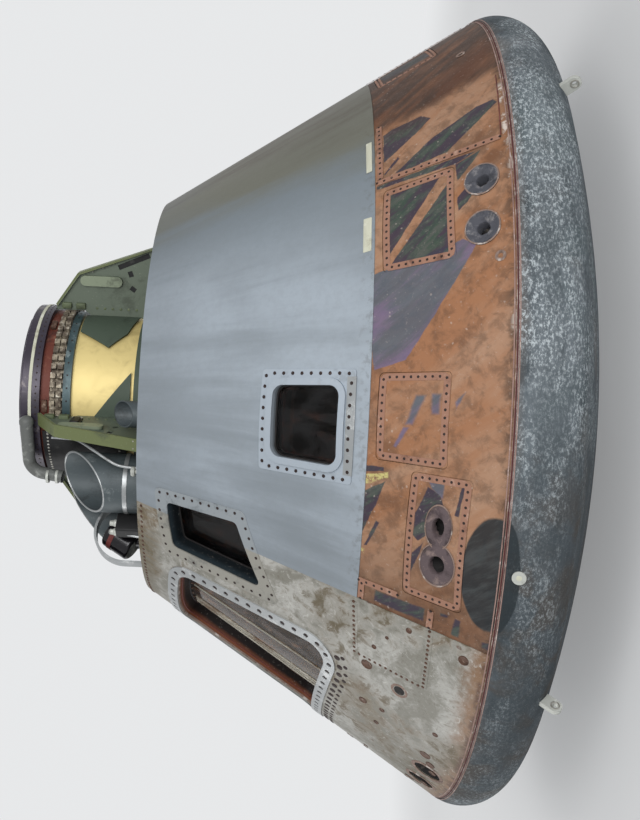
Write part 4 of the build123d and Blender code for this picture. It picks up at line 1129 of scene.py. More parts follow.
@dataclass(frozen=True)
class GussetPaint(Finish):
    """Primer on a gusset: dull on its web, lighter on the pressed bead, bright on the flange."""

    web: Colour = paint(88, 98, 84)
    bead: Colour = paint(124, 134, 112)
    flange: Colour = paint(94, 102, 64)
    dirt: Colour = paint(52, 58, 46)
    scuff: Colour = paint(166, 172, 150)
    outer_line: tuple[tuple[float, float], ...] = ((0.8043, 2.0748), (0.632, 2.5318), (0.470, 2.643))

    def make(self, graph: Graph) -> bpy.types.Material:
        """Distance from the web's middle plane, (|x| - |y|) / sqrt 2, picks the tone."""
        x, y, _ = graph.axes()
        off = abs(abs(x) - abs(y)) / math.sqrt(2.0)
        cloud = graph.noise(9.0, 6.0, 0.62, 0.4)
        fine = graph.noise(90.0, 4.0, 0.7)
        colour = graph.mix(off.rise(0.009, 0.016), self.web, self.bead)
        colour = graph.mix(self.line_inside(graph).rise(0.012, 0.009), colour, self.flange)
        colour = graph.mix((cloud + fine * 0.3).rise(0.68, 0.86) * 0.6, colour, self.dirt)
        colour = graph.mix(fine.rise(0.6, 0.72) * 0.25, colour, self.scuff)
        return graph.finish(colour, 0.52 + (cloud - 0.5) * 0.3, 0.08, cloud * 0.5 + fine * 0.4, 0.0007)

    def line_inside(self, graph: Graph) -> Value:
        """Distance inside the gusset's bent outer line: the lesser of those from its two straight runs."""
        radius, z = graph.reach(), graph.axes()[2]
        distances = []
        for (r0, z0), (r1, z1) in zip(self.outer_line, self.outer_line[1:]):
            length = math.hypot(r1 - r0, z1 - z0)
            a, b = (z1 - z0) / length, -(r1 - r0) / length
            distances.append((radius - r0) * -a + (z - z0) * -b)
        return distances[0].least(distances[1])


@dataclass(frozen=True)
class Pane(Finish):
    """Glass: a tint, polished, with smears in its gloss and painted reflections, a rough brown layer that noise breaks
    up.
    """

    tint: Colour
    # Colours of the painted reflections, dark and bright, and their share.
    painted_reflection: Colour
    glint: Colour
    cover: float = 0.4
    smear: float = 0.05

    def make(self, graph: Graph) -> bpy.types.Material:
        """Smears are noise on the roughness; the painted reflections are mixed in where a noise drawn out up the pane
        is high.
        """
        x, y, z = graph.axes()
        drawn = graph.vector(x * 5.0, y * 5.0, z * 1.6)
        smear = graph.noise(5.0, 5.0, 0.6, 1.0).rise(0.5, 0.7) * self.smear
        dust = graph.noise(40.0, 4.0, 0.7).rise(0.55, 0.75) * 0.25
        colour = graph.mix(dust, self.tint, tuple(v * 0.8 for v in self.tint))
        glass = {"Base Color": colour, "Roughness": smear + 0.02, "Transmission Weight": 1.0, "IOR": 1.18}
        clear = graph.node("ShaderNodeBsdfPrincipled", {}, glass)
        # Painted reflection: brown and orange blotches laid over the glass where a drawn-out noise is high.
        cloud = graph.noise(1.6, 6.0, 0.62, 1.2, at=drawn)
        stained = graph.mix(graph.noise(3.4, 5.0, 0.6, 1.0, at=drawn).rise(0.54, 0.68), self.painted_reflection, self.glint)
        painted_reflection = graph.node("ShaderNodeBsdfPrincipled", {}, {"Base Color": stained, "Roughness": 0.35})
        share = cloud.rise(0.4, 0.6) * self.cover
        return graph.close(graph.node("ShaderNodeMixShader", {}, {0: share, 1: clear, 2: painted_reflection}))


@dataclass(frozen=True)
class Weave(Finish):
    """Woven cover: threads both ways over a soft cloud of wear."""

    base: Colour
    shade: Colour
    pitch: float = 700.0

    def make(self, graph: Graph) -> bpy.types.Material:
        """Thread relief is the larger of two sine waves across one another."""
        x, y, z = graph.axes()
        over = graph.node("ShaderNodeMath", {"operation": "SINE"}, {0: x * self.pitch})
        under = graph.node("ShaderNodeMath", {"operation": "SINE"}, {0: (y + z) * self.pitch})
        thread = over.most(under) * 0.5 + 0.5
        cloud = graph.noise(7.0, 5.0, 0.6)
        colour = graph.mix(thread * 0.4 + cloud.rise(0.4, 0.7) * 0.5, self.shade, self.base)
        return graph.finish(colour, 0.9, 0.0, thread, 0.0006, Sheen_Weight=0.2)


@dataclass(frozen=True)
class SpottedFoil(Finish):
    """Gold film: warm bright metal with soft creases and dull spots."""

    base: Colour = paint(218, 198, 134)
    dull: Colour = paint(168, 148, 94)

    def make(self, graph: Graph) -> bpy.types.Material:
        """Creases are a distorted noise, dull spots a coarse one."""
        crease = graph.noise(9.0, 7.0, 0.6, 1.6)
        coarse = graph.noise(3.5, 4.0, 0.6, 0.5)
        colour = graph.mix((coarse + crease * 0.4).rise(0.66, 0.9) * 0.7, self.base, self.dull)
        return graph.finish(colour, 0.46 + crease * 0.15, 0.3, crease, 0.0018)


SHIELD = CharredShield("charred_shield")
ABLATOR = ScorchedAblator("scorched_ablator")
GREY = GreySheet("grey_sheet")
FOIL = StainedFoil("stained_foil")
TAN_STRIP = Paint(
    "tan_strip", paint(144, 107, 89), paint(170, 138, 122), paint(98, 69, 57), 0.68, 0.0, 14.0, 0.4, 0.55
)
DARK_BOLT = Paint("dark_bolt", paint(40, 28, 26), paint(104, 90, 84), paint(26, 20, 18), 0.65, 0.1, 60.0, 0.3, 0.4)
PALE_BOLT = Paint(
    "pale_bolt", paint(150, 148, 140), paint(186, 182, 176), paint(88, 78, 68), 0.38, 0.6, 50.0, 0.4, 0.4
)
RUSTY_BOLT = Paint(
    "rusty_bolt", paint(82, 58, 46), paint(140, 122, 108), paint(48, 34, 28), 0.55, 0.4, 60.0, 0.45, 0.6
)
BARE_METAL = Paint(
    "bare_metal", paint(146, 149, 150), paint(184, 186, 186), paint(96, 86, 76), 0.38, 0.45, 12.0, 0.5, 0.35
)
STAINED_METAL = Paint(
    "stained_metal", paint(150, 146, 134), paint(190, 186, 176), paint(98, 76, 56), 0.42, 0.45, 9.0, 0.4, 0.7
)
# Each frame's last two colours darken the opening's inside with depth as painted shade; the recess frame's dark edge
# colour is painted shade too.
WINDOW_FRAME = FrameMetal(
    "window_frame", paint(156, 165, 174), paint(156, 165, 174), paint(120, 126, 132), paint(14, 14, 16), 0.004, 0.022
)
RECESS_FRAME = FrameMetal(
    "recess_frame", paint(136, 142, 146), paint(140, 138, 130), paint(40, 50, 56), paint(18, 24, 28), 0.003, 0.05, 0.05
)
HATCH_FRAME = FrameMetal(
    "hatch_frame", paint(150, 150, 144), paint(150, 150, 144), paint(116, 68, 46), paint(22, 14, 13), 0.012, 0.052, 0.05
)
SEAL_RED = Paint("seal_red", paint(92, 40, 38), paint(124, 74, 68), paint(48, 28, 26), 0.6, 0.0, 20.0, 0.4, 0.5)
SEAL_BLACK = Paint("seal_black", paint(26, 24, 24), paint(60, 56, 54), paint(18, 16, 16), 0.7, 0.0, 20.0, 0.3, 0.3)
SEAM_LIP = Paint("seam_lip", paint(144, 118, 110), paint(186, 172, 166), paint(98, 74, 68), 0.7, 0.0, 14.0, 0.5, 0.6)
SEAM = Seam("seam_filler")
GUSSET = GussetPaint("gusset_paint")
PRIMER_GREEN = Paint(
    "primer_green", paint(92, 102, 76), paint(126, 134, 108), paint(58, 62, 48), 0.55, 0.05, 9.0, 0.35, 0.5
)
DARK_GREEN = Paint("dark_green", paint(68, 80, 68), paint(94, 104, 88), paint(44, 50, 42), 0.6, 0.0, 9.0, 0.3, 0.5)
DECK = Paint("deck_grey", paint(74, 80, 74), paint(110, 114, 104), paint(46, 46, 42), 0.6, 0.1, 8.0, 0.4, 0.6)
GOLD = SpottedFoil("gold_film")
TEAL_RING = Paint("teal_ring", paint(50, 70, 74), paint(112, 126, 128), paint(34, 40, 42), 0.42, 0.3, 12.0, 0.4, 0.4)
LINKS = Paint("link_cream", paint(154, 144, 126), paint(206, 200, 186), paint(44, 28, 22), 0.5, 0.2, 40.0, 0.5, 1.0)
BAND_RED = Paint("band_red", paint(96, 46, 34), paint(130, 84, 66), paint(44, 28, 26), 0.55, 0.1, 18.0, 0.4, 0.5)
RING_DARK = Paint("ring_dark", paint(48, 42, 54), paint(104, 98, 100), paint(30, 28, 32), 0.38, 0.35, 10.0, 0.4, 0.5)
CREAM = Paint(
    "stripe_cream", paint(190, 190, 172), paint(214, 214, 202), paint(128, 122, 100), 0.6, 0.0, 16.0, 0.4, 0.45
)
ALLOY = Paint("hatch_alloy", paint(150, 154, 152), paint(188, 190, 188), paint(90, 84, 74), 0.38, 0.6, 8.0, 0.4, 0.45)
BLUE_GREY = Paint("can_blue_grey", paint(74, 82, 85), paint(114, 121, 122), paint(46, 49, 49), 0.5, 0.1, 9.0, 0.3, 0.6)
BLACK_GLOSS = Paint(
    "canister_dark", paint(22, 20, 24), paint(84, 82, 82), paint(14, 13, 14), 0.22, 0.4, 10.0, 0.25, 0.3
)
BLACK_PAINT = Paint("black_paint", paint(22, 22, 23), paint(60, 60, 58), paint(14, 14, 14), 0.55, 0.05, 16.0, 0.3, 0.3)
HOSE_GREY = Paint("hose_grey", paint(94, 96, 94), paint(136, 138, 134), paint(56, 54, 50), 0.5, 0.1, 14.0, 0.35, 0.4)
LUG_WHITE = Paint(
    "lug_white", paint(178, 180, 174), paint(206, 208, 202), paint(104, 104, 94), 0.5, 0.2, 20.0, 0.4, 0.5
)
CHAR = Paint("nozzle_char", paint(26, 24, 24), paint(84, 78, 72), paint(14, 12, 12), 0.75, 0.0, 24.0, 0.35, 0.6, 0.003)
COLLAR = Paint(
    "engine_collar", paint(74, 75, 82), paint(122, 120, 122), paint(42, 44, 48), 0.75, 0.0, 26.0, 0.55, 0.8, 0.004
)
ROLL_COLLAR = Paint(
    "roll_collar", paint(88, 76, 78), paint(124, 108, 104), paint(50, 42, 44), 0.75, 0.0, 22.0, 0.5, 0.7, 0.003
)
RIM_PALE = Paint(
    "engine_rim", paint(132, 112, 102), paint(190, 182, 176), paint(84, 70, 64), 0.75, 0.0, 30.0, 0.5, 0.6, 0.003
)
CABIN = Paint("cabin_brown", paint(96, 60, 38), paint(160, 112, 66), paint(36, 24, 20), 0.6, 0.1, 4.0, 0.4, 0.5)
CONSOLE = Paint("console_grey", paint(88, 92, 92), paint(142, 146, 144), paint(66, 62, 56), 0.55, 0.2, 8.0, 0.35, 0.4)
COUCH = Weave("couch_fabric", paint(126, 106, 80), paint(74, 60, 46))
# Each pane's second and third colours are its painted reflections, dark and bright, and the next number their share.
DARK_GLASS = Pane("window_glass", (0.34, 0.30, 0.27), paint(9, 9, 11), paint(58, 30, 18), 0.35, 0.04)
CLEAR = Pane("clear_cover", (0.56, 0.37, 0.22), paint(48, 30, 19), paint(138, 90, 46), 0.5, 0.05)


# Pieces


def linked(name: str, data: bpy.types.ID) -> bpy.types.Object:
    """New object of some data, in the scene."""
    made = bpy.data.objects.new(name, data)
    bpy.context.scene.collection.objects.link(made)
    return made


def meshed(name: str, shape: Shape, material: bpy.types.Material) -> bpy.types.Mesh:
    """New mesh of a shape, with a material."""
    mesh = bpy.data.meshes.new(name)
    mesh.from_pydata(shape.points.tolist(), [], shape.quads.tolist() + shape.tris.tolist())
    mesh.materials.append(material)
    return mesh


def piece(name: str, shape: Shape, finish: Finish) -> bpy.types.Object:
    """Make a piece of the visual model that rides with the capsule.

    Args:
        name: of the piece.
        shape: its mesh.
        finish: its finish.

    Returns:
        The object, at the origin.
    """
    mesh = meshed(name, shape, finish.material())
    mesh.polygons.foreach_set("use_smooth", np.full(len(mesh.polygons), True))
    made = linked(name, mesh)
    mesh.set_sharp_from_angle(angle=math.radians(38))
    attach(made, "root")
    log.info("piece %s: %d faces", name, len(mesh.polygons))
    return made


def dress(frame: dict[str, Any], finish: Finish, *nodes: str) -> None:
    """Give CAD nodes a finish through their own material slots."""
    for node in nodes:
        slots = frame["nodes"][node].material_slots
        for slot in slots:
            slot.material = finish.material()
        log.info("node %s: %s", node, finish.name)


def pair(name: str) -> tuple[str, str]:
    """Names of the right and left nodes of a pair."""
    return name + "_right", name + "_left"


@dataclass
class HeatShield:
    """Dished heat shield with its seam, round plugs and lifting lugs."""

    corner_radius: float = 0.1956
    corner_r: float = 1.7602
    corner_z: float = 0.5543
    lug_angles: tuple[float, ...] = (15.5, 108.5, 187.6, -63.6)
    lug_bearing: float = -48.0
    lug_reach: float = 0.0503
    lug_half: float = 0.01
    eye_radius: float = 0.011
    plug_angles: tuple[float, ...] = (-45.5, -134.5)
    plug_bearing: float = 13.0
    lip_bearings: tuple[float, float] = (28.23949, 34.71887)

    def over_corner(self, angles: Any, bearing: float, reach: float = 0.0) -> tuple[Array, Array]:
        """Places on the rounded corner: middle of the corner's circle + (its radius + reach) * outward normal.

        Args:
            angles: degrees round the axis.
            bearing: degrees over the level, round the corner's circle.
            reach: metres proud of the corner.

        Returns:
            The places and the normals, (N, 3) each.
        """
        outward, _, upward = directions(angles)
        turn = math.radians(bearing)
        out = outward * math.cos(turn) + upward * math.sin(turn)
        return outward * self.corner_r + upward * self.corner_z + out * (self.corner_radius + reach), out

    def seam_lips(self) -> Shape:
        """Two narrow rings either side of the seam: a small half round carried round the axis at each bearing."""
        angles = np.degrees(circle(240))
        profile = np.array([[0.0026, -0.001], [0.002, 0.0006], [0.0, 0.0011], [-0.002, 0.0006], [-0.0026, -0.001]])
        places = [self.over_corner(angles, bearing) for bearing in self.lip_bearings]
        return Shape.joined([Shape.ribbon(path, normal, profile, closed=True) for path, normal in places])

    def lug_frames(self, facing: Facing) -> Frames:
        """Places at the lugs' eyes, facing along the eye's axis one way."""
        origins, out = self.over_corner(self.lug_angles, self.lug_bearing, self.lug_reach)
        along = directions(self.lug_angles)[1] * facing.value
        return Frames(origins + along * self.lug_half, np.stack([out, np.cross(along, out), along], 1))

    def bushings(self) -> Shape:
        """Raised rings round both ends of each eye."""
        ring = Shape.turned(round_section(self.eye_radius + 0.005, 0.0035, 0.0022), 24)
        return Shape.joined([ring.at(self.lug_frames(facing)) for facing in Facing])

    def plug_studs(self) -> Shape:
        """Small raised stud in the middle of each round plug."""
        origins, out = self.over_corner(self.plug_angles, self.plug_bearing, 0.0022)
        across = directions(self.plug_angles)[1]
        stud = Shape.lathe([(0.0105, -0.003), (0.0105, 0.0008), (0.0085, 0.0016), (0.003, 0.0008)], 18)
        return stud.at(Frames(origins, np.stack([across, np.cross(out, across), out], 1)))

    def build(self, frame: dict[str, Any]) -> None:
        """Dress the nodes and add the pieces."""
        dress(frame, SHIELD, "aft_heat_shield")
        dress(frame, SEAM, "seam_gasket")
        dress(frame, LUG_WHITE, "lifting_lugs", "shield_plugs")
        piece("seam_lips", self.seam_lips(), SEAM_LIP)
        piece("lug_bushings", self.bushings(), PALE_BOLT)
        piece("plug_centres", self.plug_studs(), CREAM)


@dataclass
class ConicalShell:
    """Ablator ring with bolted panels, grey upper sheet and the foil-covered hatch side."""

    panels: tuple[tuple[float, float, float, float], ...] = (
        (-9.7, 3.6, 0.194, 0.451),
        (-35.0, -23.5, 0.201, 0.451),
        (-52.2, -35.8, 0.112, 0.321),
        (34.0, 47.0, 0.194, 0.451),
        (62.0, 76.0, 0.119, 0.399),
    )
    panel_bolts: tuple[int, ...] = (42, 38, 46, 42, 46)
    border: float = 0.028
    recess: float = 0.005
    strips: tuple[Row, ...] = (
        ((5.5, 0.474), (5.4, 0.034)),
        ((6.1, 0.462), (18.2, 0.462)),
        ((-52.9, 0.335), (-52.9, 0.480)),
        ((-53.3, 0.468), (-55.8, 0.468)),
        ((-53.3, 0.213), (-55.8, 0.213)),
        ((49.0, 0.474), (50.0, 0.034)),
    )
    foil_rows: tuple[Row, ...] = (
        ((-56.9, 0.492), (-66.2, 0.470)),
        ((-56.3, 0.208), (-65.9, 0.202)),
        ((-66.3, 0.45), (-66.1, 0.22)),
    )
    forward_row: Row = ((-89.0, 1.415), (-57.0, 1.415))
    joint: Row = ((5.6, 0.030), (17.0, 0.020))
    plates: tuple[tuple[float, float, float, float], ...] = ((11.75, 0.5035, 0.19, 0.026), (-3.15, 0.509, 0.155, 0.036))
    plugs: tuple[tuple[float, float, float], ...] = (
        (-67.6, 0.417, 0.026),
        (-77.0, 0.410, 0.020),
        (-76.4, 0.332, 0.013),
        (-81.2, 0.343, 0.013),
        (-74.2, 0.123, 0.013),
        (-81.3, 0.135, 0.026),
        (-83.5, 0.105, 0.022),
        (-86.0, 0.085, 0.018),
        (-63.3, 0.398, 0.011),
        (-57.6, 0.28, 0.013),
        (-58.3, 0.08, 0.022),
        (-60.5, 0.355, 0.008),
    )
    port: tuple[float, float] = (-69.3, 0.283)
    marks: tuple[tuple[float, float], ...] = ((-10.6, 0.05), (28.0, 0.12))

    def corners(self, panel: tuple[float, float, float, float]) -> tuple[tuple[float, float], ...]:
        """A panel's corners, anticlockwise seen from outside."""
        low_angle, high_angle, low, high = panel
        return ((low_angle, low), (high_angle, low), (high_angle, high), (low_angle, high))

    def border_line(self, panel: tuple[float, float, float, float], corner: float, count: int) -> tuple[Array, Array]:
        """Places along the middle of a panel's border strip."""
        return outline_on_cone(self.corners(panel), corner, -0.004 - self.border / 2, count, -self.recess)

    def borders(self) -> Shape:
        """Tan strip round the inside of each panel's edge."""
        lines = [self.border_line(panel, 0.014, 96) for panel in self.panels]
        return Shape.joined([loop_on_cone(*line, -self.recess, self.border, 0.0014) for line in lines]).with_mirror()

    def border_bolts(self) -> Shape:
        """Bolts along the middle of each strip."""
        lines = [self.border_line(panel, 0.012, count) for panel, count in zip(self.panels, self.panel_bolts)]
        out = -self.recess + 0.0014
        return Shape.joined([bolt(0.0042, 0.0018).at(CONE.frames(*line, out)) for line in lines]).with_mirror()

    def outer_strips(self) -> Shape:
        """Tan strips on the ablator beyond the panels."""
        return bands_on_cone(self.strips, -0.0002, 0.026, 0.0011).with_mirror()

    def strip_bolts(self) -> Shape:
        """Bolts along the tan strips."""
        return bolts_on_cone(self.strips, 0.032, 0.0042, 0.0018).with_mirror()

    def seam_line(self) -> Shape:
        """Thin red joint that runs beside the seam above the flush panel."""
        return bands_on_cone([self.joint], -0.0002, 0.004, 0.0010).with_mirror()

    def foil_bolts(self) -> Shape:
        """Bolts on three sides of the foil-covered panel and along the foil's forward edge."""
        rows = [(self.foil_rows, 0.024), ([self.forward_row], 0.03)]
        return Shape.joined([bolts_on_cone(lines, step, 0.0052, 0.0024) for lines, step in rows]).with_mirror()

    def foil_strips(self) -> Shape:
        """Foil-covered strips under the bolts of the foil-covered panel, with a raised edge."""
        return bands_on_cone(self.foil_rows, -0.0003, 0.032, 0.0013).with_mirror()

    def blank_plates(self) -> Shape:
        """Two blank pale plates by the edge of the upper sheet."""
        shapes = []
        for angle, height, length, width in self.plates:
            plate = Shape.slab(rounded_box(length, width, 0.003), [(0.0, -0.0012), (0.0, 0.0009), (0.02, 0.0012)])
            shapes.append(plate.at(CONE.frames(angle, height)))
        return Shape.joined(shapes)

    def small_plugs(self) -> Shape:
        """Brown plugs in the foil, each a shallow dished disc."""
        discs = []
        for angle, height, size in self.plugs:
            profile = [(size, -0.002), (size, 0.001), (size * 0.88, 0.0018), (size * 0.8, 0.0006), (0.004, 0.0002)]
            discs.append(Shape.lathe(profile, 20).at(CONE.frames(angle, height, 0.0002)))
        return Shape.joined(discs).with_mirror()

    def port_disc(self) -> Shape:
        """Dark middle of the small port in the foil."""
        disc = Shape.lathe([(0.024, -0.002), (0.024, 0.0006), (0.02, 0.0012), (0.006, 0.0004)], 24)
        return disc.at(CONE.frames(*self.port)).with_mirror()

    def port_rings(self) -> Shape:
        """Raised ring of the small port in the foil, and the ring marks in the ablator."""
        rings = [Shape.turned(round_section(0.033, 0.006, 0.0022), 32).at(CONE.frames(*self.port))]
        mark = Shape.turned(round_section(0.016, 0.006, 0.0022), 32)
        rings += [mark.at(CONE.frames(*place, -0.0015)) for place in self.marks]
        return Shape.joined(rings).with_mirror()

    def build(self, frame: dict[str, Any]) -> None:
        """Dress the nodes and add the pieces."""
        dress(frame, ABLATOR, *pair("lower_shell"))
        dress(frame, ABLATOR, *pair("access_panels"))
        dress(frame, GREY, *pair("upper_shell"))
        dress(frame, FOIL, "hatch_side_shell")
        dress(frame, STAINED_METAL, "umbilical_plate")
        piece("panel_borders", self.borders(), TAN_STRIP)
        piece("panel_bolts", self.border_bolts(), DARK_BOLT)
        piece("ablator_strips", self.outer_strips(), TAN_STRIP)
        piece("ablator_strip_bolts", self.strip_bolts(), DARK_BOLT)
        piece("ablator_joint_line", self.seam_line(), SEAL_RED)
        piece("foil_strips", self.foil_strips(), FOIL)
        piece("foil_bolts", self.foil_bolts(), RUSTY_BOLT)
        piece("blank_plates", self.blank_plates(), CREAM)
        piece("foil_plugs", self.small_plugs(), RUSTY_BOLT)
        piece("port_middle", self.port_disc(), CHAR)
        piece("port_rings", self.port_rings(), RIM_PALE)


@dataclass
class Windows:
    """Side and rendezvous windows: flange bolts, seals and glazing beads."""

    side_corners: tuple[tuple[float, float], ...] = ((-36.9, 0.587), (-25.2, 0.587), (-25.2, 0.843), (-36.9, 0.843))
    rendezvous_corners: tuple[tuple[float, float], ...] = (
        (-63.4, 0.862),
        (-51.3, 0.981),
        (-52.8, 1.294),
        (-64.7, 1.265),
    )
    aft_row: Row = ((-24.0, 0.5475), (-37.9, 0.5475))
    deep_level: float = -0.0775

    def flange_bolts(self, corners: Any, grow: float, count: int, out: float, size: float) -> Shape:
        """Evenly spaced bolts along a grown outline."""
        angles, heights = outline_on_cone(corners, 0.02, grow, count, out)
        return bolt(size, size * 0.55).at(CONE.frames(angles, heights, out))

    def along_side(self, grow: float, out: float, width: float, thick: float) -> Shape:
        """Strip along the side window's opening at a depth."""
        angles, heights = outline_on_cone(self.side_corners, 0.047 + grow, grow, 96, out)
        return loop_on_cone(angles, heights, out, width, thick).with_mirror()

    def aft_strip(self) -> Shape:
        """Bare metal strip on the flange's side next to the ablator."""
        return bands_on_cone([self.aft_row], 0.0036, 0.040, 0.0012).with_mirror()

    def deep_seal(self) -> Shape:
        """Seal at the foot of the rendezvous window's recess."""
        angles, heights = outline_on_cone(self.rendezvous_corners, 0.022, -0.004, 96, self.deep_level)
        return loop_on_cone(angles, heights, self.deep_level, 0.008, 0.005).with_mirror()

    def build(self, frame: dict[str, Any]) -> None:
        """Dress the nodes and add the pieces."""
        dress(frame, WINDOW_FRAME, *pair("side_window_frame"))
        dress(frame, RECESS_FRAME, *pair("rendezvous_window_frame"))
        dress(frame, DARK_GLASS, *pair("side_window_glass"), *pair("rendezvous_window_glass"))
        side = self.flange_bolts(self.side_corners, 0.046, 36, 0.0044, 0.0056)
        piece("side_window_bolts", side.with_mirror(), DARK_BOLT)
        piece("side_window_aft_strips", self.aft_strip(), BARE_METAL)
        deep = self.flange_bolts(self.rendezvous_corners, 0.042, 38, 0.0016, 0.0052)
        piece("rendezvous_window_bolts", deep.with_mirror(), DARK_BOLT)
        for name, strip, finish in (
            ("seals", (-0.003, -0.0215, 0.007, 0.004), SEAL_BLACK),
            # Black liners on the opening's wall deep inside: painted shade.
            ("shade_liners", (-0.008, -0.082, 0.006, 0.054), SEAL_BLACK),
            ("beads", (-0.0125, -0.042, 0.004, 0.006), BARE_METAL),
            ("red_seals", (-0.0135, -0.064, 0.006, 0.012), SEAL_RED),
        ):
            piece("side_window_" + name, self.along_side(*strip), finish)
        piece("rendezvous_seals", self.deep_seal(), SEAL_BLACK)


@dataclass
class HatchOpening:
    """Side hatch opening: perforated strip, thick edge with its seal, and the clear cover on rails."""

    corners: tuple[tuple[float, float], ...] = ((-110.6, 0.567), (-69.4, 0.567), (-72.5, 1.236), (-107.5, 1.236))
    corner: float = 0.088
    cover_depth: float = 0.086
    rail_heights: tuple[float, float] = (0.624, 1.232)
    rail_widths: tuple[tuple[float, float], ...] = ((-92.8, 0.010), (-94.6, 0.006), (-97.5, 0.012), (-84.0, 0.008))
    socket_rows: tuple[tuple[float, int, float, float], ...] = ((0.080, 66, 0.560, 0.011), (0.110, 74, 0.535, 0.008))

    def edge_line(self, grow: float, out: float, width: float, thick: float) -> Shape:
        """Strip along the opening at a depth."""
        angles, heights = outline_on_cone(self.corners, self.corner + grow, grow, 220, out)
        return loop_on_cone(angles, heights, out, width, thick)

    def cover_bolts(self) -> Shape:
        """Small clamps that hold the cover's edge."""
        angles, heights = outline_on_cone(self.corners, self.corner - 0.012, -0.012, 46, -self.cover_depth)
        return bolt(0.005, 0.003).at(CONE.frames(angles, heights, -self.cover_depth + 0.0005))

    def rails(self) -> Shape:
        """Long pale rails up the cover."""
        low, high = self.rail_heights
        out = -self.cover_depth + 0.0004
        rails = [
            bands_on_cone([((angle, low), (angle, high))], out, width, 0.005, 0.03) for angle, width in self.rail_widths
        ]
        return Shape.joined(rails)

    def aft_holes(self) -> Shape:
        """Dark discs for the sockets in two rows beside the frame's aft end, painted shade of the holes: those of a
        grown outline under a height.
        """
        rows = []
        for grow, count, limit, size in self.socket_rows:
            angles, heights = outline_on_cone(self.corners, self.corner + grow, grow, count)
            near = heights < limit
            rows.append(bolt(size, 0.002, 12).at(CONE.frames(angles[near], heights[near], 0.0002)))
        return Shape.joined(rows)

    def build(self, frame: dict[str, Any]) -> None:
        """Dress the nodes and add the pieces."""
        dress(frame, HATCH_FRAME, "hatch_frame")
        dress(frame, BARE_METAL, "hatch_trim")
        dress(frame, CLEAR, "hatch_cover")
        piece("hatch_edge_band", self.edge_line(-0.0006, -0.012, 0.003, 0.010), RIM_PALE)
        piece("hatch_seal_outer", self.edge_line(-0.001, -0.030, 0.006, 0.004), SEAL_RED)
        # Painted shade: dark strip under the perforated trim, so its holes read dark.
        piece("hatch_trim_shade_backing", self.edge_line(0.028, 0.0019, 0.030, 0.0003), DARK_BOLT)
        inner = self.edge_line(-0.003, -self.cover_depth + 0.0002, 0.009, 0.005)
        piece("hatch_seal_inner", inner, SEAL_BLACK)
        piece("hatch_cover_clamps", self.cover_bolts(), RUSTY_BOLT)
        piece("hatch_cover_rails", self.rails(), STAINED_METAL)
        # Painted shade: dark discs for the sockets' holes.
        piece("hatch_aft_sockets", self.aft_holes(), DARK_BOLT)


@dataclass
class ControlEngines:
    """Mouths of the control engines with their raised scorched rims."""

    yaw: tuple[tuple[float, float], ...] = ((0.0, 0.104), (-6.6, 0.106))
    pitch: tuple[tuple[float, float, float], ...] = ((-86.7, 0.104, 0.067), (85.4, 1.329, 0.063))
    roll: tuple[tuple[float, float, float], ...] = ((-42.1, 0.217, 0.64), (-46.9, 0.211, 0.84))
    yaw_section: tuple[tuple[float, float], ...] = (
        (0.069, -0.004),
        (0.069, 0.0012),
        (0.063, 0.0030),
        (0.055, -0.001),
        (0.036, -0.009),
        (0.027, -0.010),
        (0.024, -0.016),
        (0.022, -0.058),
        (0.028, -0.058),
        (0.032, -0.018),
        (0.056, -0.008),
    )
    roll_section: tuple[tuple[float, float], ...] = (
        (0.084, -0.008),
        (0.082, -0.001),
        (0.074, 0.0030),
        (0.056, 0.0056),
        (0.040, 0.004),
        (0.035, -0.002),
        (0.034, -0.030),
        (0.038, -0.030),
        (0.041, -0.006),
    )

    def yaw_collars(self) -> Shape:
        """Shallow dished collar in each yaw mouth, with a narrow throat."""
        ring = Shape.turned(self.yaw_section, 48, 0.25)
        return Shape.joined([ring.at(CONE.frames(*place)) for place in self.yaw]).with_mirror()

    def roll_collars(self) -> Shape:
        """Uneven scorched collar round each roll mouth."""
        shapes = [
            Shape.turned(self.roll_section, 56, 0.35, stretch).at(CONE.frames(angle, height, -0.003 + 0.0006 * k))
            for k, (angle, height, stretch) in enumerate(self.roll)
        ]
        return Shape.joined(shapes).with_mirror()

    def rims(self, mouths: Any, size: float, wide: float, out: float, stretch: float) -> Shape:
        """Uneven pale rim round each mouth."""
        ring = Shape.turned(round_section(size, wide, 0.003, 10), 56, 0.5, stretch)
        return Shape.joined([ring.at(CONE.frames(mouth[0], mouth[1], out)) for mouth in mouths]).with_mirror()

    def build(self, frame: dict[str, Any]) -> None:
        """Dress the nodes and add the pieces."""
        dress(frame, CHAR, "yaw_nozzles", "roll_nozzles", "pitch_nozzles")
        piece("yaw_collars", self.yaw_collars(), COLLAR)
        piece("roll_collars", self.roll_collars(), ROLL_COLLAR)
        piece("yaw_rims", self.rims(self.yaw, 0.0685, 0.0035, 0.0, 1.0), RIM_PALE)
        rims = Shape.joined([self.rims([mouth], 0.0855, 0.0035, -0.004, mouth[2]) for mouth in self.roll])
        piece("roll_rims", rims, RIM_PALE)
        piece("pitch_rims", self.rims(self.pitch, 0.072, 0.009, 0.0, 1.0), RIM_PALE)


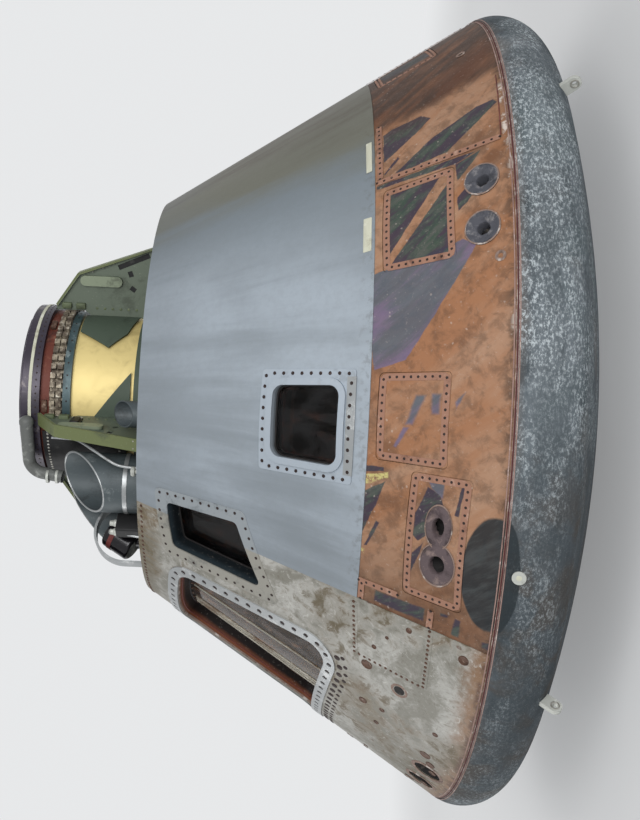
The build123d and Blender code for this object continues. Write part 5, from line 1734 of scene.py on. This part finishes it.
@dataclass
class ForwardBay:
    """Docking tunnel, its rings and gussets, cans, pipes and fittings on the forward deck."""

    deck_z: float = 2.07482
    ring_radius: float = 0.446
    ring_z: float = 2.6430
    pipe_radius: float = 0.4840
    gusset_angles: tuple[float, ...] = (-45.0, 45.0, 135.0, -135.0)
    web_holes: tuple[tuple[float, float, float, float, float], ...] = (
        (0.635, 0.195, 0.030, 0.024, 20.0),
        (0.559, 0.183, 0.030, 0.024, 55.0),
        (0.700, 0.178, 0.170, 0.026, -66.0),
    )
    can_place: tuple[float, float] = (0.6501, -68.6)
    can_mouth: float = 0.327
    can_lean: float = math.radians(40.0)
    can_toward: float = -55.0
    canister_place: tuple[float, float] = (0.8003, 0.150)
    canister_lean: float = math.radians(32.0)
    handle_radius: float = 0.13
    pipe_feet: tuple[tuple[float, float], ...] = (
        (0.76, -54.5),
        (0.53, -53.0),
        (0.86, -80.0),
        (0.62, 70.0),
        (0.70, 170.0),
    )
    pipe_runs: tuple[tuple[float, tuple[tuple[float, float, float], ...]], ...] = (
        (
            0.0065,
            ((0.475, -52.0, 2.6), (0.52, -52.5, 2.5), (0.6, -50.5, 2.42), (0.68, -51.0, 2.34), (0.745, -54.0, 2.22)),
        ),
        (0.0055, ((0.478, -56.0, 2.58), (0.50, -55.0, 2.44), (0.52, -53.5, 2.30))),
        (0.006, ((0.79, -90.0, 2.30), (0.80, -84.0, 2.27), (0.84, -80.0, 2.20))),
        (0.006, ((0.46, 62.0, 2.56), (0.52, 64.0, 2.40), (0.60, 68.0, 2.22))),
        (0.006, ((0.46, 158.0, 2.56), (0.52, 160.0, 2.34), (0.66, 168.0, 2.16))),
    )

    def web_frames(
        self, places: Sequence[tuple[float, float]], facing: Facing, proud: float = 0.007, angles: Any = None
    ) -> Frames:
        """Places on a face of the gussets' webs.

        Args:
            places: radii and levels.
            facing: which face.
            proud: distance from the web's middle.
            angles: the gussets' angles, all four if none are given.

        Returns:
            Frames with rows outward from the axis, along the web and off its face.
        """
        spots = np.asarray(places, float)
        angles = self.gusset_angles if angles is None else angles
        out, across, upward = directions(np.repeat(angles, len(spots)))
        spots, off = np.tile(spots, (len(angles), 1)), across * facing.value
        origins = out * spots[:, :1] + upward * spots[:, 1:] + off * proud
        return Frames(origins, np.stack([out, np.cross(off, out), off], 1))

    def on_webs(self, shape: Shape, places: Sequence[tuple[float, float]]) -> Shape:
        """Copies of a shape at places on both faces of every web."""
        return Shape.joined([shape.at(self.web_frames(places, facing)) for facing in Facing])

    def web_bolts(self) -> Shape:
        """Rows of bolts along the foot and root of each web, on both faces."""
        foot = [(radius, self.deck_z + 0.022) for radius in np.linspace(0.44, 0.78, 9)]
        root = [(0.452, level) for level in np.linspace(2.24, 2.44, 6)]
        return self.on_webs(bolt(0.0055, 0.003), foot + root)

    def hole_backs(self) -> Shape:
        """Dark plate inside each cut-out of the webs: painted shade, so each hole reads dark."""
        shapes = []
        for radius, rise, length, width, turn in self.web_holes:
            outline = rounded_box(length + 0.004, width + 0.004, 0.006)
            c, s = math.cos(math.radians(turn)), math.sin(math.radians(turn))
            plate = Shape.slab(outline @ np.array([[c, s], [-s, c]]), [(0.0, -0.002), (0.0, 0.002)])
            shapes.append(plate.at(self.web_frames([(radius, self.deck_z + rise)], Facing.BEHIND, 0.0)))
        return Shape.joined(shapes)

    def shroud(self) -> Shape:
        """Black curved cover beside the tunnel, under the vent pipe."""
        out = directions(np.linspace(-53.5, -98.0, 40))[0]
        side = np.array([[0.20, -0.002], [0.20, 0.003], [0.196, 0.0045]])
        profile = np.concatenate([side, side[::-1] * [-1, 1]])
        return Shape.ribbon(out * 0.4465 + [0.0, 0.0, 2.43], out, profile, closed=False)

    def shroud_bolts(self) -> Shape:
        """Row of small pale bolts near the cover's top, and one near its foot."""
        angles = np.arange(-55.5, -97.0, -2.6)
        rows = [ring_frames(0.451, level, angles) for level in (2.605, 2.26)]
        return Shape.joined([bolt(0.0042, 0.0025).at(row) for row in rows])

    def boxes(self) -> Shape:
        """Black boxes between the mortar can and the hoop, with eased tops."""
        tall = Shape.slab(rounded_box(0.070, 0.100, 0.010), [(0.0, 0.0), (0.0, 0.150), (0.05, 0.158), (0.14, 0.160)])
        low = Shape.slab(rounded_box(0.090, 0.070, 0.008), [(0.0, 0.0), (0.0, 0.090), (0.05, 0.097), (0.14, 0.099)])
        places = ((tall, 0.80, -79.0), (low, 0.62, -90.0))
        return Shape.joined([box.at(upright_frames(radius, self.deck_z, angle)) for box, radius, angle in places])

    def box_caps(self) -> Shape:
        """White round connectors on top of the boxes."""
        cap = Shape.lathe([(0.018, 0.0), (0.018, 0.010), (0.014, 0.014), (0.013, 0.030), (0.009, 0.033)], 18)
        spots = np.array([(0.80, 0.159, -78.0), (0.83, 0.159, -80.0), (0.62, 0.098, -88.0), (0.62, 0.098, -92.0)])
        return cap.at(upright_frames(spots[:, 0], self.deck_z + spots[:, 1], spots[:, 2]))

    def pipe_cap(self) -> Shape:
        """Domed blank on the vent pipe's open end: its axis is the first run, turned back."""
        start, after = (np.array(polar(self.pipe_radius, angle, self.ring_z + 0.052)) for angle in (-46.0, -62.0))
        out = (start - after) / np.linalg.norm(start - after)
        across = np.cross([0.0, 0.0, 1.0], out)
        cap = Shape.lathe([(0.0335, -0.014), (0.0335, 0.004), (0.030, 0.012), (0.020, 0.021), (0.008, 0.025)], 32)
        return cap.at(Frames(start[None], np.stack([across, np.cross(out, across), out])[None]))

    def foot_angles(self) -> Shape:
        """Strip along each web's foot, on both faces."""
        strip = Shape.slab(rounded_box(0.36, 0.034, 0.004), [(0.0, 0.0003), (0.0, 0.003), (0.02, 0.004)])
        return self.on_webs(strip, [(0.61, self.deck_z + 0.0185)])

    def tip_brackets(self) -> Shape:
        """Small block at each gusset's tip below the docking ring, on both faces."""
        rings = [(0.0, 0.0003), (0.0, 0.013), (0.06, 0.016), (0.12, 0.0165)]
        block = Shape.slab(rounded_box(0.030, 0.048, 0.006), rings)
        return self.on_webs(block, [(0.462, 2.590), (0.462, 2.52)])

    def ring_bolts(self) -> Shape:
        """Row of small bolts round the docking ring and round the teal ring."""
        angles = np.arange(84) * 360 / 84
        upper = bolt(0.0034, 0.0018).at(ring_frames(self.ring_radius, self.ring_z + 0.018, angles))
        lower = bolt(0.0034, 0.0018).at(ring_frames(0.422, 2.519, angles[::2]))
        return Shape.joined([upper, lower])

    def band_clasps(self) -> Shape:
        """Clasps of the separation band: short boxes proud of it, with a shaped top."""
        box = Shape.slab(rounded_box(0.060, 0.026, 0.004), [(0.0, -0.001), (0.0, 0.010), (0.05, 0.013), (0.3, 0.0135)])
        return box.at(ring_frames(0.420, 2.622, np.arange(6) * 60.0 + 22.0))

    def deck_bolts(self) -> Shape:
        """Bolts round the deck's edge."""
        angles = np.arange(96) * 3.75 + 1.0
        return bolt(0.0055, 0.003).at(upright_frames(0.918, self.deck_z, angles))

    def can_rims(self) -> Shape:
        """Bead along each mortar can's slanted mouth: a circle whose level is mouth - tan(lean) * distance along it."""
        toward = directions(self.can_toward)[0][0]
        spread = directions(np.degrees(circle(72)))[0] * 0.1385
        rise = self.can_mouth - math.tan(self.can_lean) * (spread @ toward)
        path = spread + polar(*self.can_place, self.deck_z) + rise[:, None] * [0.0, 0.0, 1.0]
        normal = toward * math.sin(self.can_lean) + [0.0, 0.0, math.cos(self.can_lean)]
        return Shape.ribbon(path, np.tile(normal, (72, 1)), oval(0.0052, 0.0035), closed=True).with_mirror()

    def can_bands(self) -> Shape:
        """Clamp bands round the foot of each mortar can."""
        x, y, _ = polar(*self.can_place, 0.0)
        section = strap(0.010, -0.001, 0.0025, 0.0035)
        bands = [hoop(0.142, self.deck_z + rise, 64, section, (x, y)) for rise in (0.03, 0.115)]
        return Shape.joined(bands).with_mirror()

    def thin_pipes(self) -> Shape:
        """Thin pipes that run beside the gusset and down to their feet on the deck."""
        pipes = []
        for (radius, run), foot in zip(self.pipe_runs, self.pipe_feet):
            pipes.append(Shape.tube([polar(*place) for place in (*run, (*foot, self.deck_z))], radius, 10))
        return Shape.joined(pipes)

    def pipe_nuts(self) -> Shape:
        """Six-sided fittings at the feet of the thin pipes."""
        profile = [(0.011, 0.0), (0.0125, 0.002), (0.0125, 0.014), (0.0095, 0.017), (0.0085, 0.026), (0.0065, 0.027)]
        radius, angle = np.array(self.pipe_feet).T
        return Shape.lathe(profile, 6).at(upright_frames(radius, self.deck_z, angle))

    def hose_clamps(self) -> Shape:
        """Bright clamps round the vent pipe's drop."""
        x, y, _ = polar(self.pipe_radius + 0.06, -78.0, 0.0)
        section = strap(0.006, 0.0005, 0.0028, 0.0034)
        return Shape.joined([hoop(0.030, self.ring_z - drop, 32, section, (x, y)) for drop in (0.04, 0.085)])

    def valve(self) -> Shape:
        """Two knobs on flanged stems: disc, neck and grip turned about an axis."""
        disc = [(0.034, 0.0), (0.034, 0.006), (0.030, 0.008), (0.011, 0.010)]
        grip = [(0.010, 0.045), (0.021, 0.050), (0.023, 0.058), (0.019, 0.066), (0.008, 0.069)]
        return Shape.lathe(disc + grip, 28).at(upright_frames(0.85, self.deck_z, [-52.0, -100.0]))

    def latch(self) -> Shape:
        """Bracket plates on the hatch-side webs beside the tunnel, with a raised middle."""
        rings = [(0.0, 0.0002), (0.0, 0.006), (0.04, 0.008), (0.3, 0.0085), (0.34, 0.016), (0.4, 0.0165)]
        plate = Shape.slab(rounded_box(0.110, 0.055, 0.010), rings)
        return plate.at(self.web_frames([(0.510, 2.455)], Facing.AHEAD, angles=(-45.0,))).with_mirror()

    def latch_bolts(self) -> Shape:
        """White-headed bolts on the bracket plates."""
        spots = [(0.466, 2.474), (0.554, 2.474), (0.466, 2.436), (0.554, 2.436)]
        return bolt(0.005, 0.004).at(self.web_frames(spots, Facing.AHEAD, 0.015, (-45.0,))).with_mirror()

    def flange_bolts(self) -> Shape:
        """Bolts down the sloping flange of each gusset, either side of its web."""
        top, bottom = np.array([0.6325, self.deck_z + 0.40]), np.array([0.785, self.deck_z + 0.05])
        line = top + (bottom - top) * np.linspace(0.05, 0.95, 7)[:, None]
        slope = (bottom - top) / np.linalg.norm(bottom - top)
        shapes = []
        for outward, across, upward in zip(*directions(self.gusset_angles)):
            normal = outward * -slope[1] + upward * slope[0]
            axes = np.broadcast_to(np.stack([across, np.cross(normal, across), normal]), (len(line), 3, 3))
            for offset in (-0.018, 0.018):
                origins = line[:, :1] * outward + line[:, 1:] * upward + across * offset + normal * 0.0005
                shapes.append(bolt(0.0042, 0.0025).at(Frames(origins, axes)))
        return Shape.joined(shapes)

    def hatch_handle(self) -> Shape:
        """Ring handle on its posts, and the studs round the tunnel hatch."""
        round_bar = Shape.turned(round_section(self.handle_radius, 0.009, 0.009, 10), 48)
        ring = round_bar.at(upright_frames(0.0, 2.6045, 0.0))
        post = Shape.lathe([(0.008, 0.0), (0.008, 0.018)], 10)
        posts = post.at(upright_frames(self.handle_radius, 2.5862, np.arange(6) * 60.0))
        studs = bolt(0.008, 0.006).at(upright_frames(0.345, 2.5689, np.arange(24) * 15.0 + 7.5))
        return Shape.joined([ring, posts, studs])

    def canister_strap(self) -> Shape:
        """Red strap round the leaning canister: a circle square to the canister's axis."""
        axis = np.array([0.0, math.sin(self.canister_lean), math.cos(self.canister_lean)])
        across = np.array([1.0, 0.0, 0.0])
        t = circle(40)[:, None]
        normal = np.cos(t) * across + np.sin(t) * np.cross(axis, across)
        distance, rise = self.canister_place
        centre = np.array([0.0, -distance, self.deck_z + rise]) + axis * 0.03
        profile = np.array([[0.012, 0.0], [0.012, 0.0018], [-0.012, 0.0018], [-0.012, 0.0]])
        return Shape.ribbon(centre + normal * 0.072, normal, profile, closed=True)

    def build(self, frame: dict[str, Any]) -> None:
        """Dress the nodes and add the pieces."""
        dress(frame, DECK, "forward_deck")
        dress(frame, GOLD, "tunnel")
        dress(frame, DARK_GREEN, "tunnel_band", "tunnel_aprons")
        dress(frame, TEAL_RING, "tunnel_ring")
        dress(frame, LINKS, "link_ring")
        dress(frame, BAND_RED, "separation_band")
        dress(frame, RING_DARK, "docking_ring")
        dress(frame, CREAM, "docking_ring_stripe")
        dress(frame, ALLOY, "tunnel_hatch")
        dress(frame, GUSSET, *pair("gusset_hatch"), *pair("gusset_back"))
        dress(frame, BLUE_GREY, *pair("mortar_can"), *pair("pilot_tube"))
        dress(frame, BLACK_GLOSS, "canister")
        dress(frame, BARE_METAL, "canister_hoop")
        dress(frame, HOSE_GREY, "vent_pipe")
        piece("gusset_web_bolts", self.web_bolts(), PRIMER_GREEN)
        piece("gusset_foot_angles", self.foot_angles(), PRIMER_GREEN)
        piece("gusset_tip_blocks", self.tip_brackets(), PRIMER_GREEN)
        # Painted shade: dark plates in the webs' cut-outs.
        piece("gusset_hole_backs", self.hole_backs(), BLACK_PAINT)
        piece("tunnel_shroud", self.shroud(), BLACK_PAINT)
        piece("tunnel_shroud_bolts", self.shroud_bolts(), PALE_BOLT)
        piece("deck_boxes", self.boxes(), BLACK_PAINT)
        piece("deck_box_connectors", self.box_caps(), LUG_WHITE)
        piece("vent_pipe_blank", self.pipe_cap(), HOSE_GREY)
        piece("gusset_flange_bolts", self.flange_bolts(), PALE_BOLT)
        piece("gusset_plates", self.latch(), BLACK_PAINT)
        piece("gusset_plate_bolts", self.latch_bolts(), LUG_WHITE)
        piece("docking_ring_bolts", self.ring_bolts(), DARK_BOLT)
        piece("band_clasps", self.band_clasps(), RUSTY_BOLT)
        piece("deck_edge_bolts", self.deck_bolts(), PALE_BOLT)
        piece("can_mouth_beads", self.can_rims(), BARE_METAL)
        piece("can_clamp_bands", self.can_bands(), BARE_METAL)
        piece("thin_pipes", self.thin_pipes(), BARE_METAL)
        piece("pipe_nuts", self.pipe_nuts(), PALE_BOLT)
        piece("vent_pipe_clamps", self.hose_clamps(), LUG_WHITE)
        piece("valve_knobs", self.valve(), LUG_WHITE)
        piece("hatch_handle", self.hatch_handle(), ALLOY)
        piece("canister_strap", self.canister_strap(), SEAL_RED)


@dataclass
class Cabin:
    """Cabin behind the glass: wall, floor, console and padded couches."""

    columns: tuple[float, ...] = (-0.59, 0.0, 0.59)
    width: float = 0.50
    thickness: float = 0.07
    floor_z: float = 0.63982
    rise: float = 0.26
    line: tuple[tuple[float, float], ...] = ((-0.825, 0.06), (-0.395, 0.17), (-0.305, 0.0), (0.465, 0.0), (0.825, 0.06))

    def pad(self, centre: float) -> Shape:
        """One couch's padding.

        The side line is sampled by length; at each sample the section is a superellipse of the couch's width and
        thickness, pulled in by a quarter at each sewn channel and rounded off towards both ends.

        Args:
            centre: the couch's place across the cabin.

        Returns:
            The closed cushion.
        """
        line = np.asarray(self.line)
        length = np.concatenate([[0], np.cumsum(np.linalg.norm(np.diff(line, axis=0), axis=1))])
        place = np.linspace(0, length[-1], 140)
        smooth = np.stack([np.interp(place, length, line[:, 0]), np.interp(place, length, line[:, 1])], -1)
        kernel = np.ones(9) / 9
        padded = np.pad(smooth, ((4, 4), (0, 0)), mode="edge")
        soft = np.stack([np.convolve(padded[:, k], kernel, mode="valid") for k in range(2)], -1)
        share = place / length[-1]
        ends = np.clip(1 - np.abs(2 * share - 1) ** 26, 0.0, 1.0) ** 0.5
        channels = 1 - 0.22 * np.exp(-(((share * 9) % 1 - 0.5) ** 2) / 0.0022)
        t = circle(40)
        across = np.sign(np.cos(t)) * np.abs(np.cos(t)) ** 0.42 * (self.width / 2 - 0.004)
        through = np.sign(np.sin(t)) * np.abs(np.sin(t)) ** 0.62 * (self.thickness / 2)
        crown = 1 - 0.25 * (np.abs(across) / (self.width / 2)) ** 6
        x = centre + across[None, :] * (0.35 + 0.65 * ends[:, None])
        y = np.broadcast_to(soft[:, :1], x.shape)
        level = self.floor_z + self.rise + self.thickness / 2
        z = level + soft[:, 1:] + through[None, :] * crown * (ends * channels)[:, None]
        return Shape.capped(np.stack([x, y, z], -1))

    def legs(self) -> Shape:
        """Couch legs: posts with spread feet under each couch."""
        post = Shape.lathe([(0.036, 0.0), (0.036, 0.006), (0.018, 0.012), (0.016, 0.24), (0.030, 0.262)], 20)
        x, y = np.meshgrid(np.array(self.columns)[:, None] + np.array([-0.16, 0.16]), [-0.26, 0.30])
        turn = np.arctan2(y.ravel(), x.ravel())
        return post.at(upright_frames(np.hypot(x, y).ravel(), self.floor_z + 0.0003, np.degrees(turn)))

    def console_face(self) -> Shape:
        """Rows of small round switches and blank dials under the console."""
        x, y = np.meshgrid(np.linspace(-0.56, 0.56, 22), np.linspace(-0.15, 0.15, 6))
        axes = np.broadcast_to(np.array([[1.0, 0, 0], [0, -1.0, 0], [0, 0, -1.0]]), (x.size, 3, 3))
        origins = np.stack([x.ravel(), y.ravel(), np.full(x.size, 1.8248)], -1)
        return bolt(0.011, 0.014, 12).at(Frames(origins, axes))

    def build(self, frame: dict[str, Any]) -> None:
        """Dress the nodes, replace the plain couches and add the fittings."""
        dress(frame, CABIN, "cabin_wall", "cabin_floor", "couches")
        dress(frame, CONSOLE, "console")
        for centre, name in zip(self.columns, ("left", "middle", "right")):
            cushion = piece("couch_pad_" + name, self.pad(centre), COUCH)
            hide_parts("couches")
        legs = piece("couch_legs", self.legs(), BARE_METAL)
        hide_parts("couches")
        piece("console_switches", self.console_face(), PALE_BOLT)


@dataclass
class Studio:
    """Pale floor, soft lights, plain background and the photograph's camera."""

    eye: tuple[float, float, float] = (5.0575, -2.6891, 1.4494)
    right: tuple[float, float, float] = (0.04816, 0.02839, -0.99844)
    up: tuple[float, float, float] = (0.46267, 0.88526, 0.04749)
    back: tuple[float, float, float] = (0.88522, -0.46423, 0.02950)
    lens: float = 48.02
    pale: Colour = (0.80, 0.81, 0.82)
    lamps: tuple[tuple[tuple[float, float, float], float, float], ...] = (
        ((7.0, -2.2, 3.6), 4.0, 0.60),
        ((-6.0, 3.4, 4.6), 5.0, 0.34),
        ((-3.6, -6.4, 3.6), 4.0, 0.24),
    )
    ambient: float = 0.38
    floor_rings: tuple[float, ...] = (0.02, 3.0, 7.0, 14.0, 60.0)
    floor_sides: int = 96

    def floor(self) -> None:
        """Round floor that fades into the background with distance."""
        t, r = circle(self.floor_sides), np.array(self.floor_rings)[:, None]
        grid = np.stack([r * np.cos(t), r * np.sin(t), np.zeros((len(r), len(t)))], -1)
        shape = Shape.grid(grid[::-1], wrap_columns=True)
        count = len(shape.points)
        ring = np.arange(count - len(t), count)
        shape.points = np.concatenate([shape.points, [[0.0, 0.0, 0.0]]])
        shape.tris = np.stack([ring, np.roll(ring, -1), np.full(len(t), count)], -1)
        linked("floor", meshed("floor", shape, self.floor_material()))

    def floor_material(self) -> bpy.types.Material:
        """Pale matte floor near the object, background colour far from it."""
        graph = Graph(bpy.data.materials.new("floor_pale"))
        reach = graph.node("ShaderNodeVectorMath", {"operation": "LENGTH"}, {0: graph.place}, output=1)
        cloud = graph.noise(1.3, 3.0, 0.5)
        base = graph.mix(cloud * 0.3, (0.74, 0.75, 0.76), (0.78, 0.785, 0.79))
        matte = graph.node("ShaderNodeBsdfPrincipled", {}, {"Base Color": base, "Roughness": 0.9})
        glow = graph.node("ShaderNodeEmission", {}, {"Color": self.pale, "Strength": 1.0})
        far = reach.rise(3.4, 9.0).most(0.3)
        return graph.close(graph.node("ShaderNodeMixShader", {}, {0: far, 1: matte, 2: glow}))

    def world(self) -> None:
        """Even light on the object, and the pale background for camera, glossy and transmission rays."""
        graph = Graph(bpy.data.worlds.new("studio"))
        camera, glossy, through = (
            graph.node("ShaderNodeLightPath", {}, {}, output="Is %s Ray" % kind)
            for kind in ("Camera", "Glossy", "Transmission")
        )
        light = graph.node("ShaderNodeBackground", {}, {0: (1.0, 1.0, 1.0), 1: self.ambient})
        seen = graph.node("ShaderNodeBackground", {}, {0: self.pale, 1: 1.0})
        shares = {0: camera.most(glossy).most(through), 1: light, 2: seen}
        bpy.context.scene.world = graph.close(graph.node("ShaderNodeMixShader", {}, shares))

    def lights(self) -> None:
        """Large square lamps aimed at the middle of the capsule; power = level * pi^2 * distance^2."""
        target = Vector((0.0, 0.0, 1.2))
        for number, (place, size, level) in enumerate(self.lamps):
            lamp = bpy.data.lights.new("lamp_%d" % number, "AREA")
            lamp.size = size
            aim = target - Vector(place)
            lamp.energy = level * math.pi**2 * aim.length_squared
            made = linked(lamp.name, lamp)
            made.location = place
            made.rotation_euler = aim.to_track_quat("-Z", "Y").to_euler()

    def camera(self) -> None:
        """The photograph's camera, rolled as the capsule hangs in it."""
        data = bpy.data.cameras.new("photo_camera")
        data.sensor_fit, data.sensor_height, data.sensor_width, data.lens = "VERTICAL", 36.0, 36.0, self.lens
        made = linked("photo_camera", data)
        columns = Matrix((self.right, self.up, self.back)).transposed()
        made.matrix_world = Matrix.Translation(self.eye) @ columns.to_4x4()
        bpy.context.scene.camera = made

    def build(self) -> None:
        """Set the whole studio up."""
        self.floor()
        self.world()
        self.lights()
        self.camera()
        bpy.context.scene.view_settings.view_transform = "Standard"


def main() -> None:
    """Load the frame, set up the studio and build each sub-assembly in order."""
    logging.basicConfig(level=logging.INFO, format="%(message)s")
    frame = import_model()
    Studio().build()
    for assembly in (HeatShield(), ConicalShell(), Windows(), HatchOpening(), ControlEngines(), ForwardBay(), Cabin()):
        log.info("building %s", type(assembly).__name__)
        assembly.build(frame)


if __name__ == "__main__":
    main()
